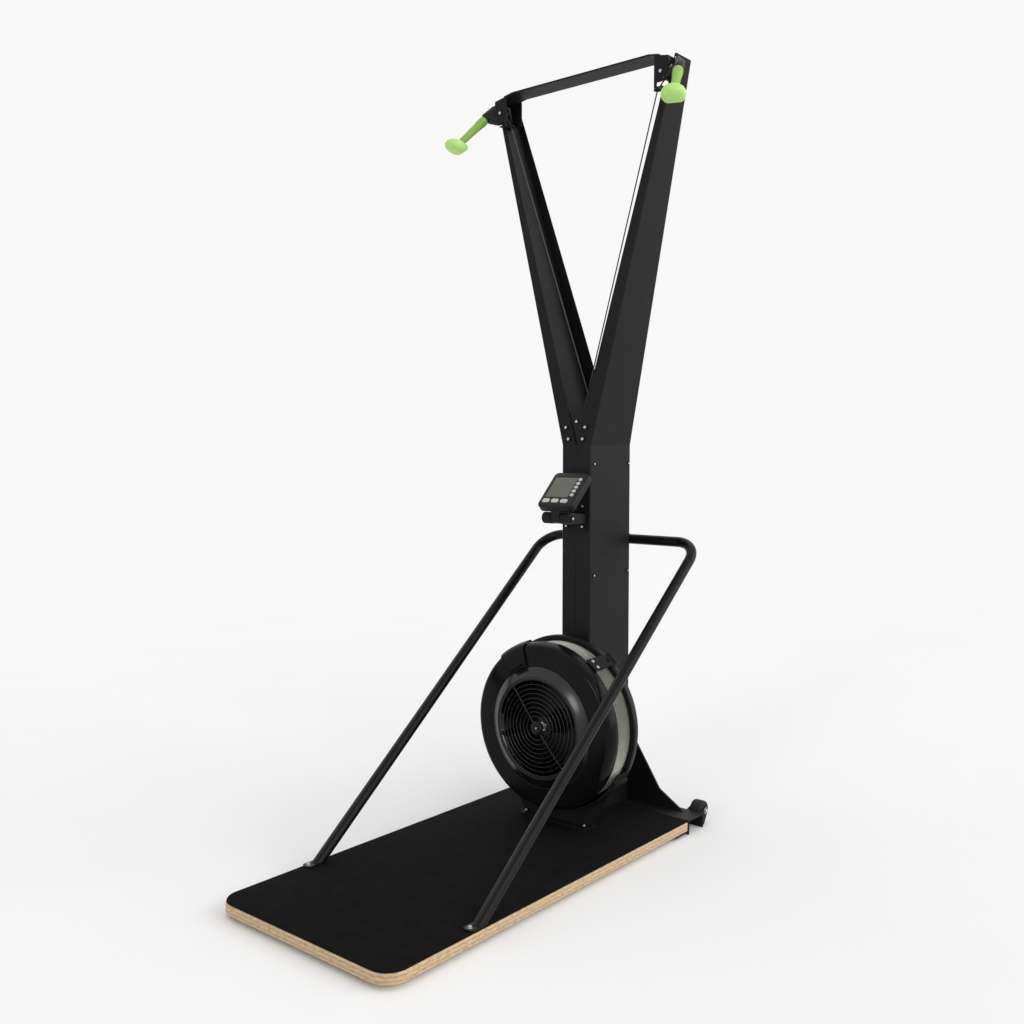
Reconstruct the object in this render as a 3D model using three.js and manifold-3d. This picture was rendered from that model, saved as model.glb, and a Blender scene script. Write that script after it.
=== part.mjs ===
// Ski ergometer: an air-braked machine for the double-pole stroke, on its standing platform.
// Millimetres, +Z up. +X is to the right of a user who stands on the deck and faces the mast,
// +Y runs from the deck's front edge to the mast. The model is built from the deck's front edge
// and then moved so that its origin is the middle of its footprint, on the floor.
import * as THREE from 'three';
import { mergeVertices } from 'three/addons/utils/BufferGeometryUtils.js';
import Module from 'manifold-3d';

const wasm = await Module();
wasm.setup();

// Shared clearances and steps
const seatGap = 0.3;
const cutOverrun = 2;
const rootOverlap = 1;
const weldTolerance = 0.02;
const roundSides = 16;
const pulleySides = 14;
const smallSides = 10;
const boltSides = 6;
const nutSides = 6;
const cornerSteps = 2;
const keySteps = 1;
const sweepSteps = 9;

// Deck
const deckWidth = 600;
const deckLength = 1198;
const deckFrontRadius = 56;
const deckRearRadius = 8;
const boardThickness = 25.4;
const boardEdgeRadius = 3;
const matThickness = 4;
const matInset = 2;
const footThickness = 12;
const footDepth = 46;
const footInset = 40;

// Heights above the floor that follow from the deck
const boardBottom = footThickness + seatGap;
const boardTop = boardBottom + boardThickness;
const matBottom = boardTop + seatGap;
const deckTop = matBottom + matThickness;

// Drive cords and their idlers and spools
const cordRadius = 2;
const cordSides = 6;
const grooveLip = 3.4;
const grooveEdge = 1.2;
const grooveRootShare = 0.5;
const idlerRadius = 20;
const idlerWidth = 11;
const idlerPinRadius = 5;
const idlerCollarStep = 3;
const idlerCollarWidth = 3;
const idlerSideClearance = 3.6;
const idlerGap = 1.7;
const idlerSetBack = 55;
const idlerRise = 57;
const spoolWidth = 24;
const spoolFlange = 2.4;
const spoolFillet = 1;
const spoolGap = 6;
const spoolSetBack = 34;
const spoolSideClearance = 6.6;
const idlerCentreHalf = (idlerRadius + grooveLip + idlerPinRadius + idlerSideClearance) / 2;
const spoolRadius = idlerCentreHalf + idlerRadius;

// Mast: two folded channels that part into the arms of a V; kinkHeight is the fork, above the deck
const mastSheet = 3;
const mastBendRadius = 5;
const mastOverlap = 152;
const mastDepth = 209;
const kinkHeight = 1093;
const armTopHeight = 2144;
const armTopHalfWidth = 318;
const armTopSetBack = 14;
const armTopDepth = 82;
const armTopFrontFlange = 16;
const armTopRearFlange = 20;
const seamGap = 0.4;
const sideBoltRadius = 5;
const sideBoltHead = 3;
const sideBoltInset = 20;
const sideBoltRearInset = 12;
const sideBoltLowHeight = 712;
const sideBoltDrop = 54;
const sideBoltHeights = [sideBoltLowHeight, kinkHeight - sideBoltDrop];
const mastHalfWidth = spoolRadius + grooveLip + cordRadius + spoolSideClearance + mastSheet;
const mastFront = deckLength - mastOverlap;
const mastRear = mastFront + mastDepth;

// Rear base and its flared back plate
const baseSheet = 4;
const baseGap = 1;
const baseMargin = 21.7;
const baseLipDepth = 70;
const backPlateSheet = 6;
const backPlateHeight = 236;
const backPlateFootInset = 54;
const backPlateFootHalf = deckWidth / 2 - backPlateFootInset;
const backPlateKinkStep = 83;
const backPlateKinkHalf = backPlateFootHalf - backPlateKinkStep;
const backPlateKinkHeight = 52;
const backPlateCornerRadius = 12;
const backPlateBoltRadius = 7;
const backPlateBoltHead = 4.5;
const backPlateBoltShares = [0.35, 0.8];
const baseFront = deckLength + baseGap;
const plateRear = mastRear + seatGap + backPlateSheet;
const baseRear = plateRear + baseMargin;

// Idler plate behind the fork of the mast, its heights measured from the fork
const idlerPlateSheet = 4;
const idlerPlateDrop = 15;
const idlerPlateRise = 97;
const studRadius = 4;
const studHeadStep = 3;
const studHeadRadius = studRadius + studHeadStep;
const studHeadHeight = 4;
const studTopRise = 69;
const studMidRise = 52;
const studMidHalf = 34.5;
const studLowRise = 18;
const studLowHalf = 25.5;
const idlerPlateBottom = kinkHeight - idlerPlateDrop;
const idlerPlateTop = kinkHeight + idlerPlateRise;
const idlerCentreHeight = kinkHeight + idlerRise;
const idlerCollarRadius = idlerPinRadius + idlerCollarStep;
const leftCordPlane = mastFront + idlerSetBack;
const rightCordPlane = leftCordPlane + idlerWidth + seatGap + idlerCollarWidth + idlerGap;
const spoolFrontFace = mastFront + spoolSetBack;

// Elastic return cord and the bracket that holds its middle inside the mast
const bungeeRadius = 4;
const bungeeHalf = 14;
const bungeeGap = 26;
const bungeeLow = 350;
const bungeeDrop = 133;
const bungeeHigh = kinkHeight - bungeeDrop;
const bungeeDistance = spoolFrontFace + 2 * spoolWidth + spoolGap + bungeeGap;
const bungeeBracketSheet = 4;
const bungeeBracketDrop = 22;

// Radii of the fan and its housing, each measured inwards from the one outside it
const rearRimRadius = 248;
const rearRimStep = 6;
const meshStep = 10;
const damperStep = 6;
const fanStep = 14;
const coverRimWidth = 74;
const coverThroatWidth = 24;
const coverRimRadius = rearRimRadius - rearRimStep;
const meshRadius = coverRimRadius - meshStep;
const damperRadius = meshRadius - damperStep;
const fanRadius = damperRadius - fanStep;
const coverLipRadius = coverRimRadius - coverRimWidth;
const coverThroatRadius = coverLipRadius - coverThroatWidth;
const fanRise = 43;
const fanCentreHeight = rearRimRadius + fanRise;
const fanHeight = deckTop + fanCentreHeight;

// Housing of the fan: stations measured backwards from one to the next, up to the mast's front
const coverDepth = 59;
const meshDepth = 72;
const rearRimDepth = 18;
const rearFaceDepth = 28;
const rearBossDepth = 6;
const rearFace = mastFront - rearBossDepth;
const rearRimBack = rearFace - rearFaceDepth;
const meshBack = rearRimBack - rearRimDepth;
const coverBackEdge = meshBack - meshDepth;
const coverFace = coverBackEdge - coverDepth;
const coverSheet = 3;
const coverThroatDepth = 12;
const coverSkinShares = [[0.027, 1], [0, 0.72], [0.035, 0.42], [0.13, 0.19], [0.3, 0.06], [1, 0]];
const meshSheet = 1.6;
const meshTuck = 6;
const coverLipDepth = 5;
const rearFaceRadius = 96;
const rearBossRadius = 62;
const rearShoulderWidth = 26;
const rearShoulderDepth = 17;
const rearInnerStep = 2;
const rearInnerRise = 4;
const rearInnerDrop = 8;
const bearingRadius = 21;
const bearingSheet = 9;
const bearingRoom = 6;
const bearingFlange = 4;
const bearingFlangeSheet = 3;
const coverSides = 28;

// Fan and its axle
const fanHubRadius = 27;
const fanHubSetBack = 37;
const fanHubFlare = 3;
const fanHubFoot = 12;
const fanHubRun = 8;
const fanBladeSetBack = 51;
const fanDiscSetBack = 113;
const fanDiscSheet = 4;
const fanBladeCount = 16;
const fanBladeInner = 112;
const fanBladeInset = 2;
const fanBladeSheet = 2.4;
const fanBladeLean = 0.42;
const fanRingWidth = 14;
const fanRingSheet = 3;
const axleRadius = 8;
const axleCollarStep = 6;
const axleCollarWidth = 8;
const axleSides = 16;
const axleTipGap = 6;
const fanHubFront = coverFace + fanHubSetBack;
const fanBladeFront = coverFace + fanBladeSetBack;
const fanDiscFront = coverFace + fanDiscSetBack;

// Grille
const grilleRingCount = 8;
const grilleInnerRadius = 36;
const grilleWire = 4;
const grilleDome = 8;
const grilleHubRadius = 20;
const grilleHubHeight = 6;
const grilleHubEdge = 3;
const grilleHubStep = 2;
const grilleSeatWidth = 3;
const grilleSeatStep = 1;
const grilleSeatDepth = 3.7;
const grilleStrutWidth = 6;
const grilleStrutAngle = 40;
const grilleSides = 16;

// Damper
const damperSheet = 2;
const damperDepth = 44;
const damperWindowCount = 12;
const damperWindowShare = 0.5;
const damperLeverAngle = 27;
const damperSectorHalfAngle = 12;
const damperLeverWidth = 20;
const damperLeverSheet = 3.5;
const damperSkinClearance = 2.4;
const damperLipInset = 4;
const damperTabWidth = 52;
const damperTabHeight = 13;
const damperTabSheet = 6;
const damperTabInset = 14;
const damperSlotSetBack = 43;
const damperSlotDepth = 8;
const damperSlotMargin = 5;
const damperTravelUp = 22;
const damperTravelDown = 22;
const damperSlotFront = coverFace + damperSlotSetBack;

// Clips and cradle of the fan housing
const clipFacets = 3;
const clipAngle = clipFacets * 360 / coverSides;
const clipWidth = 42;
const clipSheet = 4;
const clipStandOff = 10;
const clipLegLength = 12;
const clipFootShare = 1.3;
const clipFrontTuck = 6;
const clipStepTuck = 8;
const clipRearReach = 6;
const cradleDepth = 50;
const cradleSetBack = 8;
const cradleSheet = 4;
const cradleHalfAngle = 64;
const cradleFootHalf = 118;
const cradleBoltRadius = 6;
const cradleBoltInset = 12;
const cradleGripHeight = 12;
const cradleGripReach = 10;
const cradleGripAngleShare = 0.93;
const cradleBack = meshBack - cradleSetBack;
const cradleFront = cradleBack - cradleDepth;

// Handrail hoop
const hoopRadius = 15;
const hoopInset = 17;
const hoopHalfWidth = deckWidth / 2 - hoopInset;
const hoopHeight = 806;
const hoopFootDistance = 300;
const hoopBend = 72;
const hoopSides = 10;
const hoopBendSteps = 5;
const hoopTabLength = 52;
const hoopTabWidth = 36;
const hoopTabSheet = 4;
const hoopBoltRadius = 6.5;
const hoopBoltHead = 5;
const saddleSheet = 4;
const saddleInset = 19;
const saddleWidth = 2 * (mastHalfWidth - saddleInset);
const saddleEar = 18;

// Crossbar across the arm tops
const crossbarFlatInset = 77;
const crossbarEndInset = 44;
const crossbarLift = 3;
const crossbarSheet = 5;
const crossbarReach = 3;
const crossbarDepth = 70;
const crossbarDrop = 10;
const crossbarHalfFlat = armTopHalfWidth - crossbarFlatInset;
const crossbarHalfWidth = armTopHalfWidth - crossbarEndInset;
const crossbarHeight = armTopHeight + crossbarLift;
const crossbarFront = mastFront - crossbarReach;

// Head bracket at the top of each arm
const headSheet = 3;
const headInnerInset = 56;
const headOuterInset = 12;
const headReach = 7;
const headDepth = 76;
const headPlateDrop = 74;
const headTongueDrop = 88;
const headTongueWidth = 26;
const headTongueDepth = 44;
const headLegWidth = 8;
const headBoltRadius = 5;
const headBoltDrop = 47;
const headInner = armTopHalfWidth - headInnerInset;
const headOuter = armTopHalfWidth - headOuterInset;
const headFront = mastFront - headReach;
const headPlateBottom = armTopHeight - headPlateDrop;
const headTongueBottom = armTopHeight - headTongueDrop;
const headBoltHeight = armTopHeight - headBoltDrop;
const eyeletInset = 58;
const eyeletSetBack = 15;
const eyeletRadius = 5;
const eyeletWire = 3;
const eyeletSides = 8;
const eyeletX = armTopHalfWidth - eyeletInset;
const eyeletDistance = mastFront + eyeletSetBack;

// Top sheave, its housing and the handle's pull
const pullDirection = new THREE.Vector3(0.294, -0.65, -0.70).normalize();
const sheaveInset = 6;
const sheaveDrop = 43;
const sheaveRadius = 22;
const sheaveWidth = 11;
const sheaveSteps = 6;
const sheavePinRadius = 4;
const sheavePinHead = 3;
const sheavePinHeadStep = 3.5;
const sheavePinHeadRadius = sheavePinRadius + sheavePinHeadStep;
const housingWall = 8;
const housingRoom = 1.2;
const housingFaceShare = 0.7;
const housingBulgeShare = 0.46;
const housingHalfWidth = 13;
const housingSides = 14;
const noseLength = 36;
const noseRadius = 15;
const noseBore = 5;

// Handle: levels as share of the length, share of the radius and share of the tilt
const gripRadius = 12.4;
const gripLength = 110;
const gripShares = [[0.03, 1.16], [0.2, 1.18], [0.42, 1], [0.8, 0.9]];
const gripEndShare = 0.98;
const pommelRadius = 33.5;
const pommelLength = 42;
const pommelShares = [
  [0, 0.33, 0.2], [0.07, 0.5, 0.5], [0.18, 0.82, 1], [0.34, 0.96, 1], [0.52, 1, 1],
  [0.72, 0.95, 1], [0.9, 0.78, 1], [1, 0.5, 1],
];
const pommelFlatShare = 0.78;
const pommelTilt = 20;
const handleSides = 12;

// Monitor
const screenWidth = 76;
const screenHeight = 72;
const screenOffsetX = -10;
const screenOffsetUp = 9;
const screenDepth = 3;
const screenMargin = 3;
const screenCornerRadius = 4;
const lensThickness = 2;
const monitorSideMargin = 48;
const monitorEndMargin = 62;
const monitorWidth = screenWidth + monitorSideMargin;
const monitorHeight = screenHeight + monitorEndMargin;
const monitorThickness = 24;
const monitorCornerRadius = 14;
const monitorEdgeRadius = 3;
const monitorTilt = 45;
const monitorCentreX = 4;
const monitorReach = 67;
const monitorDrop = 127;
const monitorDistance = mastFront - monitorReach;
const monitorCentreHeight = kinkHeight - monitorDrop;
const keyWidth = 24;
const keyHeight = 14;
const keyPitch = 32;
const keyThickness = 5;
const keyProud = 2;
const keyDrop = 18;
const keyOffsetX = 5;
const keyTravel = 1.2;
const sideKeyCount = 5;
const sideKeyWidth = 12;
const sideKeyHeight = 10;
const sideKeyPitch = 15;
const sideKeyOffset = 14;
const knuckleRadius = 17;
const knuckleHalf = 48;
const knuckleStep = 10;
const knuckleSides = 16;
const neckHalf = 15;
const neckSideGap = 2;
const neckSkinGap = 1;
const knuckleInnerHalf = neckHalf + neckSideGap;
const knuckleReach = 84;
const knuckleDrop = 209;
const knuckleDistance = mastFront - knuckleReach;
const knuckleHeight = kinkHeight - knuckleDrop;
const knuckleBoltRadius = 5;
const knuckleHeadStep = 3.5;
const knuckleHeadRadius = knuckleBoltRadius + knuckleHeadStep;
const knuckleHeadHeight = 4;
const monitorPlateInset = 11;
const monitorPlateHalf = mastHalfWidth - monitorPlateInset;
const monitorPlateDrop = 44;
const monitorPlateRise = 46;
const monitorPlateCornerRadius = 6;
const monitorPlateSheet = 4;
const monitorPlateBoltInset = 11;
const monitorPlateBoltEdge = 16;
const monitorPlateBottom = knuckleHeight - monitorPlateDrop;
const monitorPlateTop = knuckleHeight + monitorPlateRise;

// Transport wheels
const wheelRadius = 28;
const wheelWidth = 38;
const wheelInset = 33;
const wheelCentreX = deckWidth / 2 - wheelInset;
const wheelWebGap = 1;
const wheelFloorGap = 11;
const wheelSides = 12;
const wheelEdgeRadius = 5;
const wheelDish = 2;
const wheelPinRadius = 5;
const wheelPinHeadShare = 1.6;
const cheekSheet = 4;
const cheekStep = 8;
const cheekRound = wheelPinRadius + cheekStep;
const wheelCentreHeight = wheelRadius + wheelFloorGap;
const wheelSetBack = wheelRadius + cheekSheet / 2 + wheelWebGap;
const wheelDistance = baseRear + wheelSetBack;
const overallLength = wheelDistance + wheelRadius;

// Materials
const material = (color, roughness, metalness = 0) =>
  new THREE.MeshStandardMaterial({ color, roughness, metalness });
const blackPaint = material(0x1c1c1d, 0.55, 0.3);
const blackPlastic = material(0x161617, 0.5);
const softRubber = material(0x202021, 0.9);
const matRubber = material(0x1f1f20, 0.95);
const plywood = material(0xc9a777, 0.6);
const zincSteel = material(0xb8b8b6, 0.35, 0.9);
const wireMesh = material(0x8f8f88, 0.45, 0.8);
const limeGrip = material(0x8cc63f, 0.6);
const cordFibre = material(0x8a8a88, 0.8);
const paleKey = material(0xb9bab4, 0.6);
const screenGlass = material(0x6b6d5c, 0.2);

const machine = new THREE.Group();
machine.position.set(0, -overallLength / 2, 0);

// Adds one named sub-part.
function add(name, geometry, finish) {
  const mesh = new THREE.Mesh(geometry, finish);
  mesh.name = name;
  machine.add(mesh);
  return mesh;
}

// Adds a right-hand sub-part and its mirror image on the left.
function addPair(name, geometry, finish) {
  add(`right_${name}`, geometry, finish);
  add(`left_${name}`, geometry, finish).scale.x = -1;
}

// Solids for cutting and joining
function toSolid(geometry) {
  const bare = geometry.clone();
  bare.deleteAttribute('normal');
  bare.deleteAttribute('uv');
  const merged = mergeVertices(bare, 1e-4);
  const mesh = new wasm.Mesh({
    numProp: 3,
    vertProperties: Float32Array.from(merged.attributes.position.array),
    triVerts: Uint32Array.from(merged.index.array),
  });
  mesh.merge();
  return new wasm.Manifold(mesh);
}

function toGeometry(solid) {
  const mesh = solid.asOriginal().simplify(weldTolerance).getMesh();
  const geometry = new THREE.BufferGeometry();
  geometry.setAttribute('position', new THREE.Float32BufferAttribute(mesh.vertProperties, 3));
  geometry.setIndex(new THREE.Uint32BufferAttribute(mesh.triVerts, 1));
  geometry.computeVertexNormals();
  return geometry;
}

function join(...geometries) {
  return toGeometry(geometries.map(toSolid).reduce((whole, piece) => whole.add(piece)));
}

function cut(geometry, ...tools) {
  return toGeometry(tools.map(toSolid).reduce((whole, tool) => whole.subtract(tool), toSolid(geometry)));
}

function overlap(geometry, tool) {
  return toGeometry(toSolid(geometry).intersect(toSolid(tool)));
}

// Plain blocks and prisms
function block(xLow, xHigh, yLow, yHigh, zLow, zHigh) {
  const geometry = new THREE.BoxGeometry(xHigh - xLow, yHigh - yLow, zHigh - zLow);
  return geometry.translate((xLow + xHigh) / 2, (yLow + yHigh) / 2, (zLow + zHigh) / 2);
}

function outline(points) {
  return new THREE.Shape(points.map(([u, v]) => new THREE.Vector2(u, v)));
}

const plain = (depth, curveSegments = cornerSteps) => ({ depth, bevelEnabled: false, curveSegments });

// A shape drawn in X and Y, raised from one height to another.
function prismUp(shape, zLow, zHigh, options = plain(zHigh - zLow)) {
  return new THREE.ExtrudeGeometry(shape, options).translate(0, 0, zLow);
}

// A shape drawn in X and Z, run back from one distance to another.
function prismBack(shape, yLow, yHigh, steps = cornerSteps) {
  return new THREE.ExtrudeGeometry(shape, plain(yHigh - yLow, steps)).rotateX(Math.PI / 2).translate(0, yHigh, 0);
}

// A shape drawn in Y and Z, run across from one X to another.
function prismAcross(shape, xLow, xHigh, steps = cornerSteps) {
  const turn = new THREE.Matrix4().makeBasis(
    new THREE.Vector3(0, 1, 0), new THREE.Vector3(0, 0, 1), new THREE.Vector3(1, 0, 0));
  return new THREE.ExtrudeGeometry(shape, plain(xHigh - xLow, steps)).applyMatrix4(turn).translate(xLow, 0, 0);
}

function roundedRectangle(width, height, radius, centreX = 0, centreY = 0) {
  const shape = new THREE.Shape();
  const right = centreX + width / 2;
  const left = centreX - width / 2;
  const top = centreY + height / 2;
  const bottom = centreY - height / 2;
  shape.moveTo(left + radius, bottom);
  shape.lineTo(right - radius, bottom);
  shape.absarc(right - radius, bottom + radius, radius, -Math.PI / 2, 0);
  shape.lineTo(right, top - radius);
  shape.absarc(right - radius, top - radius, radius, 0, Math.PI / 2);
  shape.lineTo(left + radius, top);
  shape.absarc(left + radius, top - radius, radius, Math.PI / 2, Math.PI);
  shape.lineTo(left, bottom + radius);
  shape.absarc(left + radius, bottom + radius, radius, Math.PI, 1.5 * Math.PI);
  return shape;
}

// Round stock along the three axes
function rodBack(x, z, radius, yLow, yHigh, sides = smallSides) {
  return new THREE.CylinderGeometry(radius, radius, yHigh - yLow, sides)
    .translate(x, (yLow + yHigh) / 2, z);
}

function rodAcross(y, z, radius, xLow, xHigh, sides = smallSides) {
  return new THREE.CylinderGeometry(radius, radius, xHigh - xLow, sides)
    .rotateZ(Math.PI / 2).translate((xLow + xHigh) / 2, y, z);
}

function rodUp(x, y, radius, zLow, zHigh, sides = smallSides) {
  return new THREE.CylinderGeometry(radius, radius, zHigh - zLow, sides)
    .rotateX(Math.PI / 2).translate(x, y, (zLow + zHigh) / 2);
}

function rodBetween(from, to, radius, sides = smallSides) {
  const span = new THREE.Vector3().subVectors(to, from);
  const turn = new THREE.Quaternion().setFromUnitVectors(new THREE.Vector3(0, 1, 0), span.clone().normalize());
  return new THREE.CylinderGeometry(radius, radius, span.length(), sides)
    .applyQuaternion(turn).translate((from.x + to.x) / 2, (from.y + to.y) / 2, (from.z + to.z) / 2);
}

// Turned parts on the fan's axle: a profile of [radius, distance] pairs
function turned(profile, sides = coverSides) {
  const points = profile.map(([radius, distance]) => new THREE.Vector2(radius, distance));
  return new THREE.LatheGeometry(points, sides).translate(0, 0, fanHeight);
}

// A ring or tube wall: the profile closes on itself
function turnedRing(profile, sides = coverSides) {
  return turned([...profile, profile[0]], sides);
}

// A profile moved sideways by an amount, outwards when it runs from the rim to the axle
function offsetProfile(profile, amount) {
  return profile.map(([radius, distance], i) => {
    const before = profile[Math.max(i - 1, 0)];
    const after = profile[Math.min(i + 1, profile.length - 1)];
    const span = Math.hypot(after[0] - before[0], after[1] - before[1]);
    return [
      radius - amount * (after[1] - before[1]) / span,
      distance + amount * (after[0] - before[0]) / span,
    ];
  });
}

// A path of straight runs and round bends, sampled only where it turns
class BentPath extends THREE.Curve {
  constructor(points) {
    super();
    this.points = points;
  }

  getPoint(share) {
    return this.points[Math.round(share * (this.points.length - 1))].clone();
  }

  getPointAt(share) {
    return this.getPoint(share);
  }

  getTangent(share) {
    const here = Math.round(share * (this.points.length - 1));
    const before = this.points[Math.max(here - 1, 0)];
    const after = this.points[Math.min(here + 1, this.points.length - 1)];
    return new THREE.Vector3().subVectors(after, before).normalize();
  }

  getTangentAt(share) {
    return this.getTangent(share);
  }
}

function bend(corners, radius, steps) {
  const points = [corners[0].clone()];
  for (let i = 1; i < corners.length - 1; i += 1) {
    const inward = new THREE.Vector3().subVectors(corners[i - 1], corners[i]).normalize();
    const onward = new THREE.Vector3().subVectors(corners[i + 1], corners[i]).normalize();
    const half = inward.angleTo(onward) / 2;
    const centre = corners[i].clone()
      .addScaledVector(inward.clone().add(onward).normalize(), radius / Math.sin(half));
    const start = corners[i].clone().addScaledVector(inward, radius / Math.tan(half)).sub(centre);
    const axis = new THREE.Vector3().crossVectors(onward, inward).normalize();
    const sweep = Math.PI - 2 * half;
    for (let step = 0; step <= steps; step += 1) {
      points.push(start.clone().applyAxisAngle(axis, sweep * step / steps).add(centre));
    }
  }
  points.push(corners[corners.length - 1].clone());
  return points;
}

function tube(points, radius, sides) {
  const section = new THREE.Shape();
  for (let i = 0; i < sides; i += 1) {
    const angle = 2 * Math.PI * i / sides;
    const place = [radius * Math.cos(angle), radius * Math.sin(angle)];
    if (i === 0) section.moveTo(...place);
    else section.lineTo(...place);
  }
  section.closePath();
  return new THREE.ExtrudeGeometry(section, {
    steps: points.length - 1, extrudePath: new BentPath(points), bevelEnabled: false,
  });
}

// A skin through closed sections with the same number of points, with a flat cap at each end
function loft(sections, capAxes) {
  const count = sections[0].length;
  const positions = sections.flat().flatMap((point) => [point.x, point.y, point.z]);
  const faces = [];
  for (let level = 0; level < sections.length - 1; level += 1) {
    for (let i = 0; i < count; i += 1) {
      const low = level * count + i;
      const lowNext = level * count + (i + 1) % count;
      faces.push(low, lowNext, low + count, lowNext, lowNext + count, low + count);
    }
  }
  const flat = (section) => section.map((point) => new THREE.Vector2(point.dot(capAxes[0]), point.dot(capAxes[1])));
  const top = (sections.length - 1) * count;
  THREE.ShapeUtils.triangulateShape(flat(sections[0]), []).forEach(([a, b, c]) => faces.push(c, b, a));
  THREE.ShapeUtils.triangulateShape(flat(sections[sections.length - 1]), [])
    .forEach(([a, b, c]) => faces.push(top + a, top + b, top + c));
  const geometry = new THREE.BufferGeometry();
  geometry.setAttribute('position', new THREE.Float32BufferAttribute(positions, 3));
  geometry.setIndex(faces);
  return geometry;
}

// Deck: plywood board, rubber mat and two rubber feet under the board
function deckOutline(inset) {
  const shape = new THREE.Shape();
  const half = deckWidth / 2 - inset;
  const front = inset;
  const rear = deckLength - inset;
  const round = deckFrontRadius - inset;
  shape.moveTo(-half + round, front);
  shape.lineTo(half - round, front);
  shape.absarc(half - round, front + round, round, -Math.PI / 2, 0);
  shape.lineTo(half, rear - deckRearRadius);
  shape.absarc(half - deckRearRadius, rear - deckRearRadius, deckRearRadius, 0, Math.PI / 2);
  shape.lineTo(-half + deckRearRadius, rear);
  shape.absarc(-half + deckRearRadius, rear - deckRearRadius, deckRearRadius, Math.PI / 2, Math.PI);
  shape.lineTo(-half, front + round);
  shape.absarc(-half + round, front + round, round, Math.PI, 1.5 * Math.PI);
  return shape;
}

function buildDeck() {
  const board = new THREE.ExtrudeGeometry(deckOutline(0), {
    depth: boardThickness - 2 * boardEdgeRadius,
    bevelThickness: boardEdgeRadius,
    bevelSize: boardEdgeRadius,
    bevelOffset: -boardEdgeRadius,
    bevelSegments: 1,
    curveSegments: 4,
  });
  add('deck_board', board.translate(0, 0, boardBottom + boardEdgeRadius), plywood);
  add('deck_mat', prismUp(deckOutline(matInset), matBottom, deckTop, plain(matThickness, 4)), matRubber);
  const footHalf = deckWidth / 2 - footInset;
  const places = { front_rubber_foot: footInset + footDepth, middle_rubber_foot: deckLength / 2 };
  for (const [name, distance] of Object.entries(places)) {
    const strip = roundedRectangle(2 * footHalf, footDepth, footDepth / 4, 0, distance);
    add(name, prismUp(strip, 0, footThickness), softRubber);
  }
}

// Rear base: one folded strip that holds the board's end and carries the back plate
function buildRearBase() {
  const lip = boardBottom - seatGap;
  const profile = outline([
    [baseFront, 0],
    [baseFront + baseSheet, 0],
    [baseFront + baseSheet, deckTop - baseSheet],
    [baseRear - baseSheet, deckTop - baseSheet],
    [baseRear - baseSheet, 0],
    [baseRear, 0],
    [baseRear, deckTop],
    [baseFront, deckTop],
    [baseFront, lip],
    [baseFront - baseLipDepth, lip],
    [baseFront - baseLipDepth, lip - baseSheet],
    [baseFront, lip - baseSheet],
  ]);
  add('rear_base', prismAcross(profile, -deckWidth / 2, deckWidth / 2), blackPaint);

  const foot = deckTop + seatGap;
  const half = backPlateFootHalf;
  const shoulder = foot + backPlateHeight;
  const plate = outline([
    [-half, foot],
    [half, foot],
    [backPlateKinkHalf, foot + backPlateKinkHeight],
    [mastHalfWidth, shoulder - backPlateCornerRadius],
    [mastHalfWidth - backPlateCornerRadius, shoulder],
    [-mastHalfWidth + backPlateCornerRadius, shoulder],
    [-mastHalfWidth, shoulder - backPlateCornerRadius],
    [-backPlateKinkHalf, foot + backPlateKinkHeight],
  ]);
  const front = mastRear + seatGap;
  const heads = backPlateBoltShares.flatMap((share) => [-1, 1].map((side) => rodBack(
    side * mastHalfWidth / 2, foot + share * backPlateHeight, backPlateBoltRadius,
    plateRear - cutOverrun, plateRear + backPlateBoltHead, boltSides)));
  add('back_plate', join(prismBack(plate, front, plateRear), ...heads), blackPaint);
}

// Mast half-width, front, rear and flange widths at a height above the deck
const armRise = armTopHeight - kinkHeight;
const armSlope = (armTopHalfWidth - mastHalfWidth) / armRise;

function mastAt(height) {
  const share = Math.max(0, (height - kinkHeight) / armRise);
  const mix = (low, high) => low + (high - low) * share;
  return {
    half: mix(mastHalfWidth, armTopHalfWidth),
    front: mix(mastFront, mastFront + armTopSetBack),
    rear: mix(mastRear, mastFront + armTopSetBack + armTopDepth),
    frontFlange: mix(mastHalfWidth - seamGap, armTopFrontFlange),
    rearFlange: mix(mastHalfWidth - seamGap, armTopRearFlange),
  };
}

// Where a piece inside an arm stops short of the arm's web
const webFace = (height) => mastHalfWidth + armSlope * (height - kinkHeight) - mastSheet - 2 * seatGap;

function channelSection(height, lift) {
  const { half, front, rear, frontFlange, rearFlange } = mastAt(height);
  const z = deckTop + height + lift;
  const round = mastBendRadius;
  const bendSteps = 3;
  const points = [];
  const put = (x, y) => points.push(new THREE.Vector3(x, y, z));
  put(half - frontFlange, front);
  for (let step = 0; step <= bendSteps; step += 1) {
    const angle = -Math.PI / 2 * (1 - step / bendSteps);
    put(half - round + round * Math.cos(angle), front + round + round * Math.sin(angle));
  }
  for (let step = 0; step <= bendSteps; step += 1) {
    const angle = Math.PI / 2 * step / bendSteps;
    put(half - round + round * Math.cos(angle), rear - round + round * Math.sin(angle));
  }
  put(half - rearFlange, rear);
  put(half - rearFlange, rear - mastSheet);
  put(half - mastSheet, rear - mastSheet);
  put(half - mastSheet, front + mastSheet);
  put(half - frontFlange, front + mastSheet);
  return points;
}

const studPlaces = [
  [0, kinkHeight + studTopRise],
  [-studMidHalf, kinkHeight + studMidRise], [studMidHalf, kinkHeight + studMidRise],
  [-studLowHalf, kinkHeight + studLowRise], [studLowHalf, kinkHeight + studLowRise],
];

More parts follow.
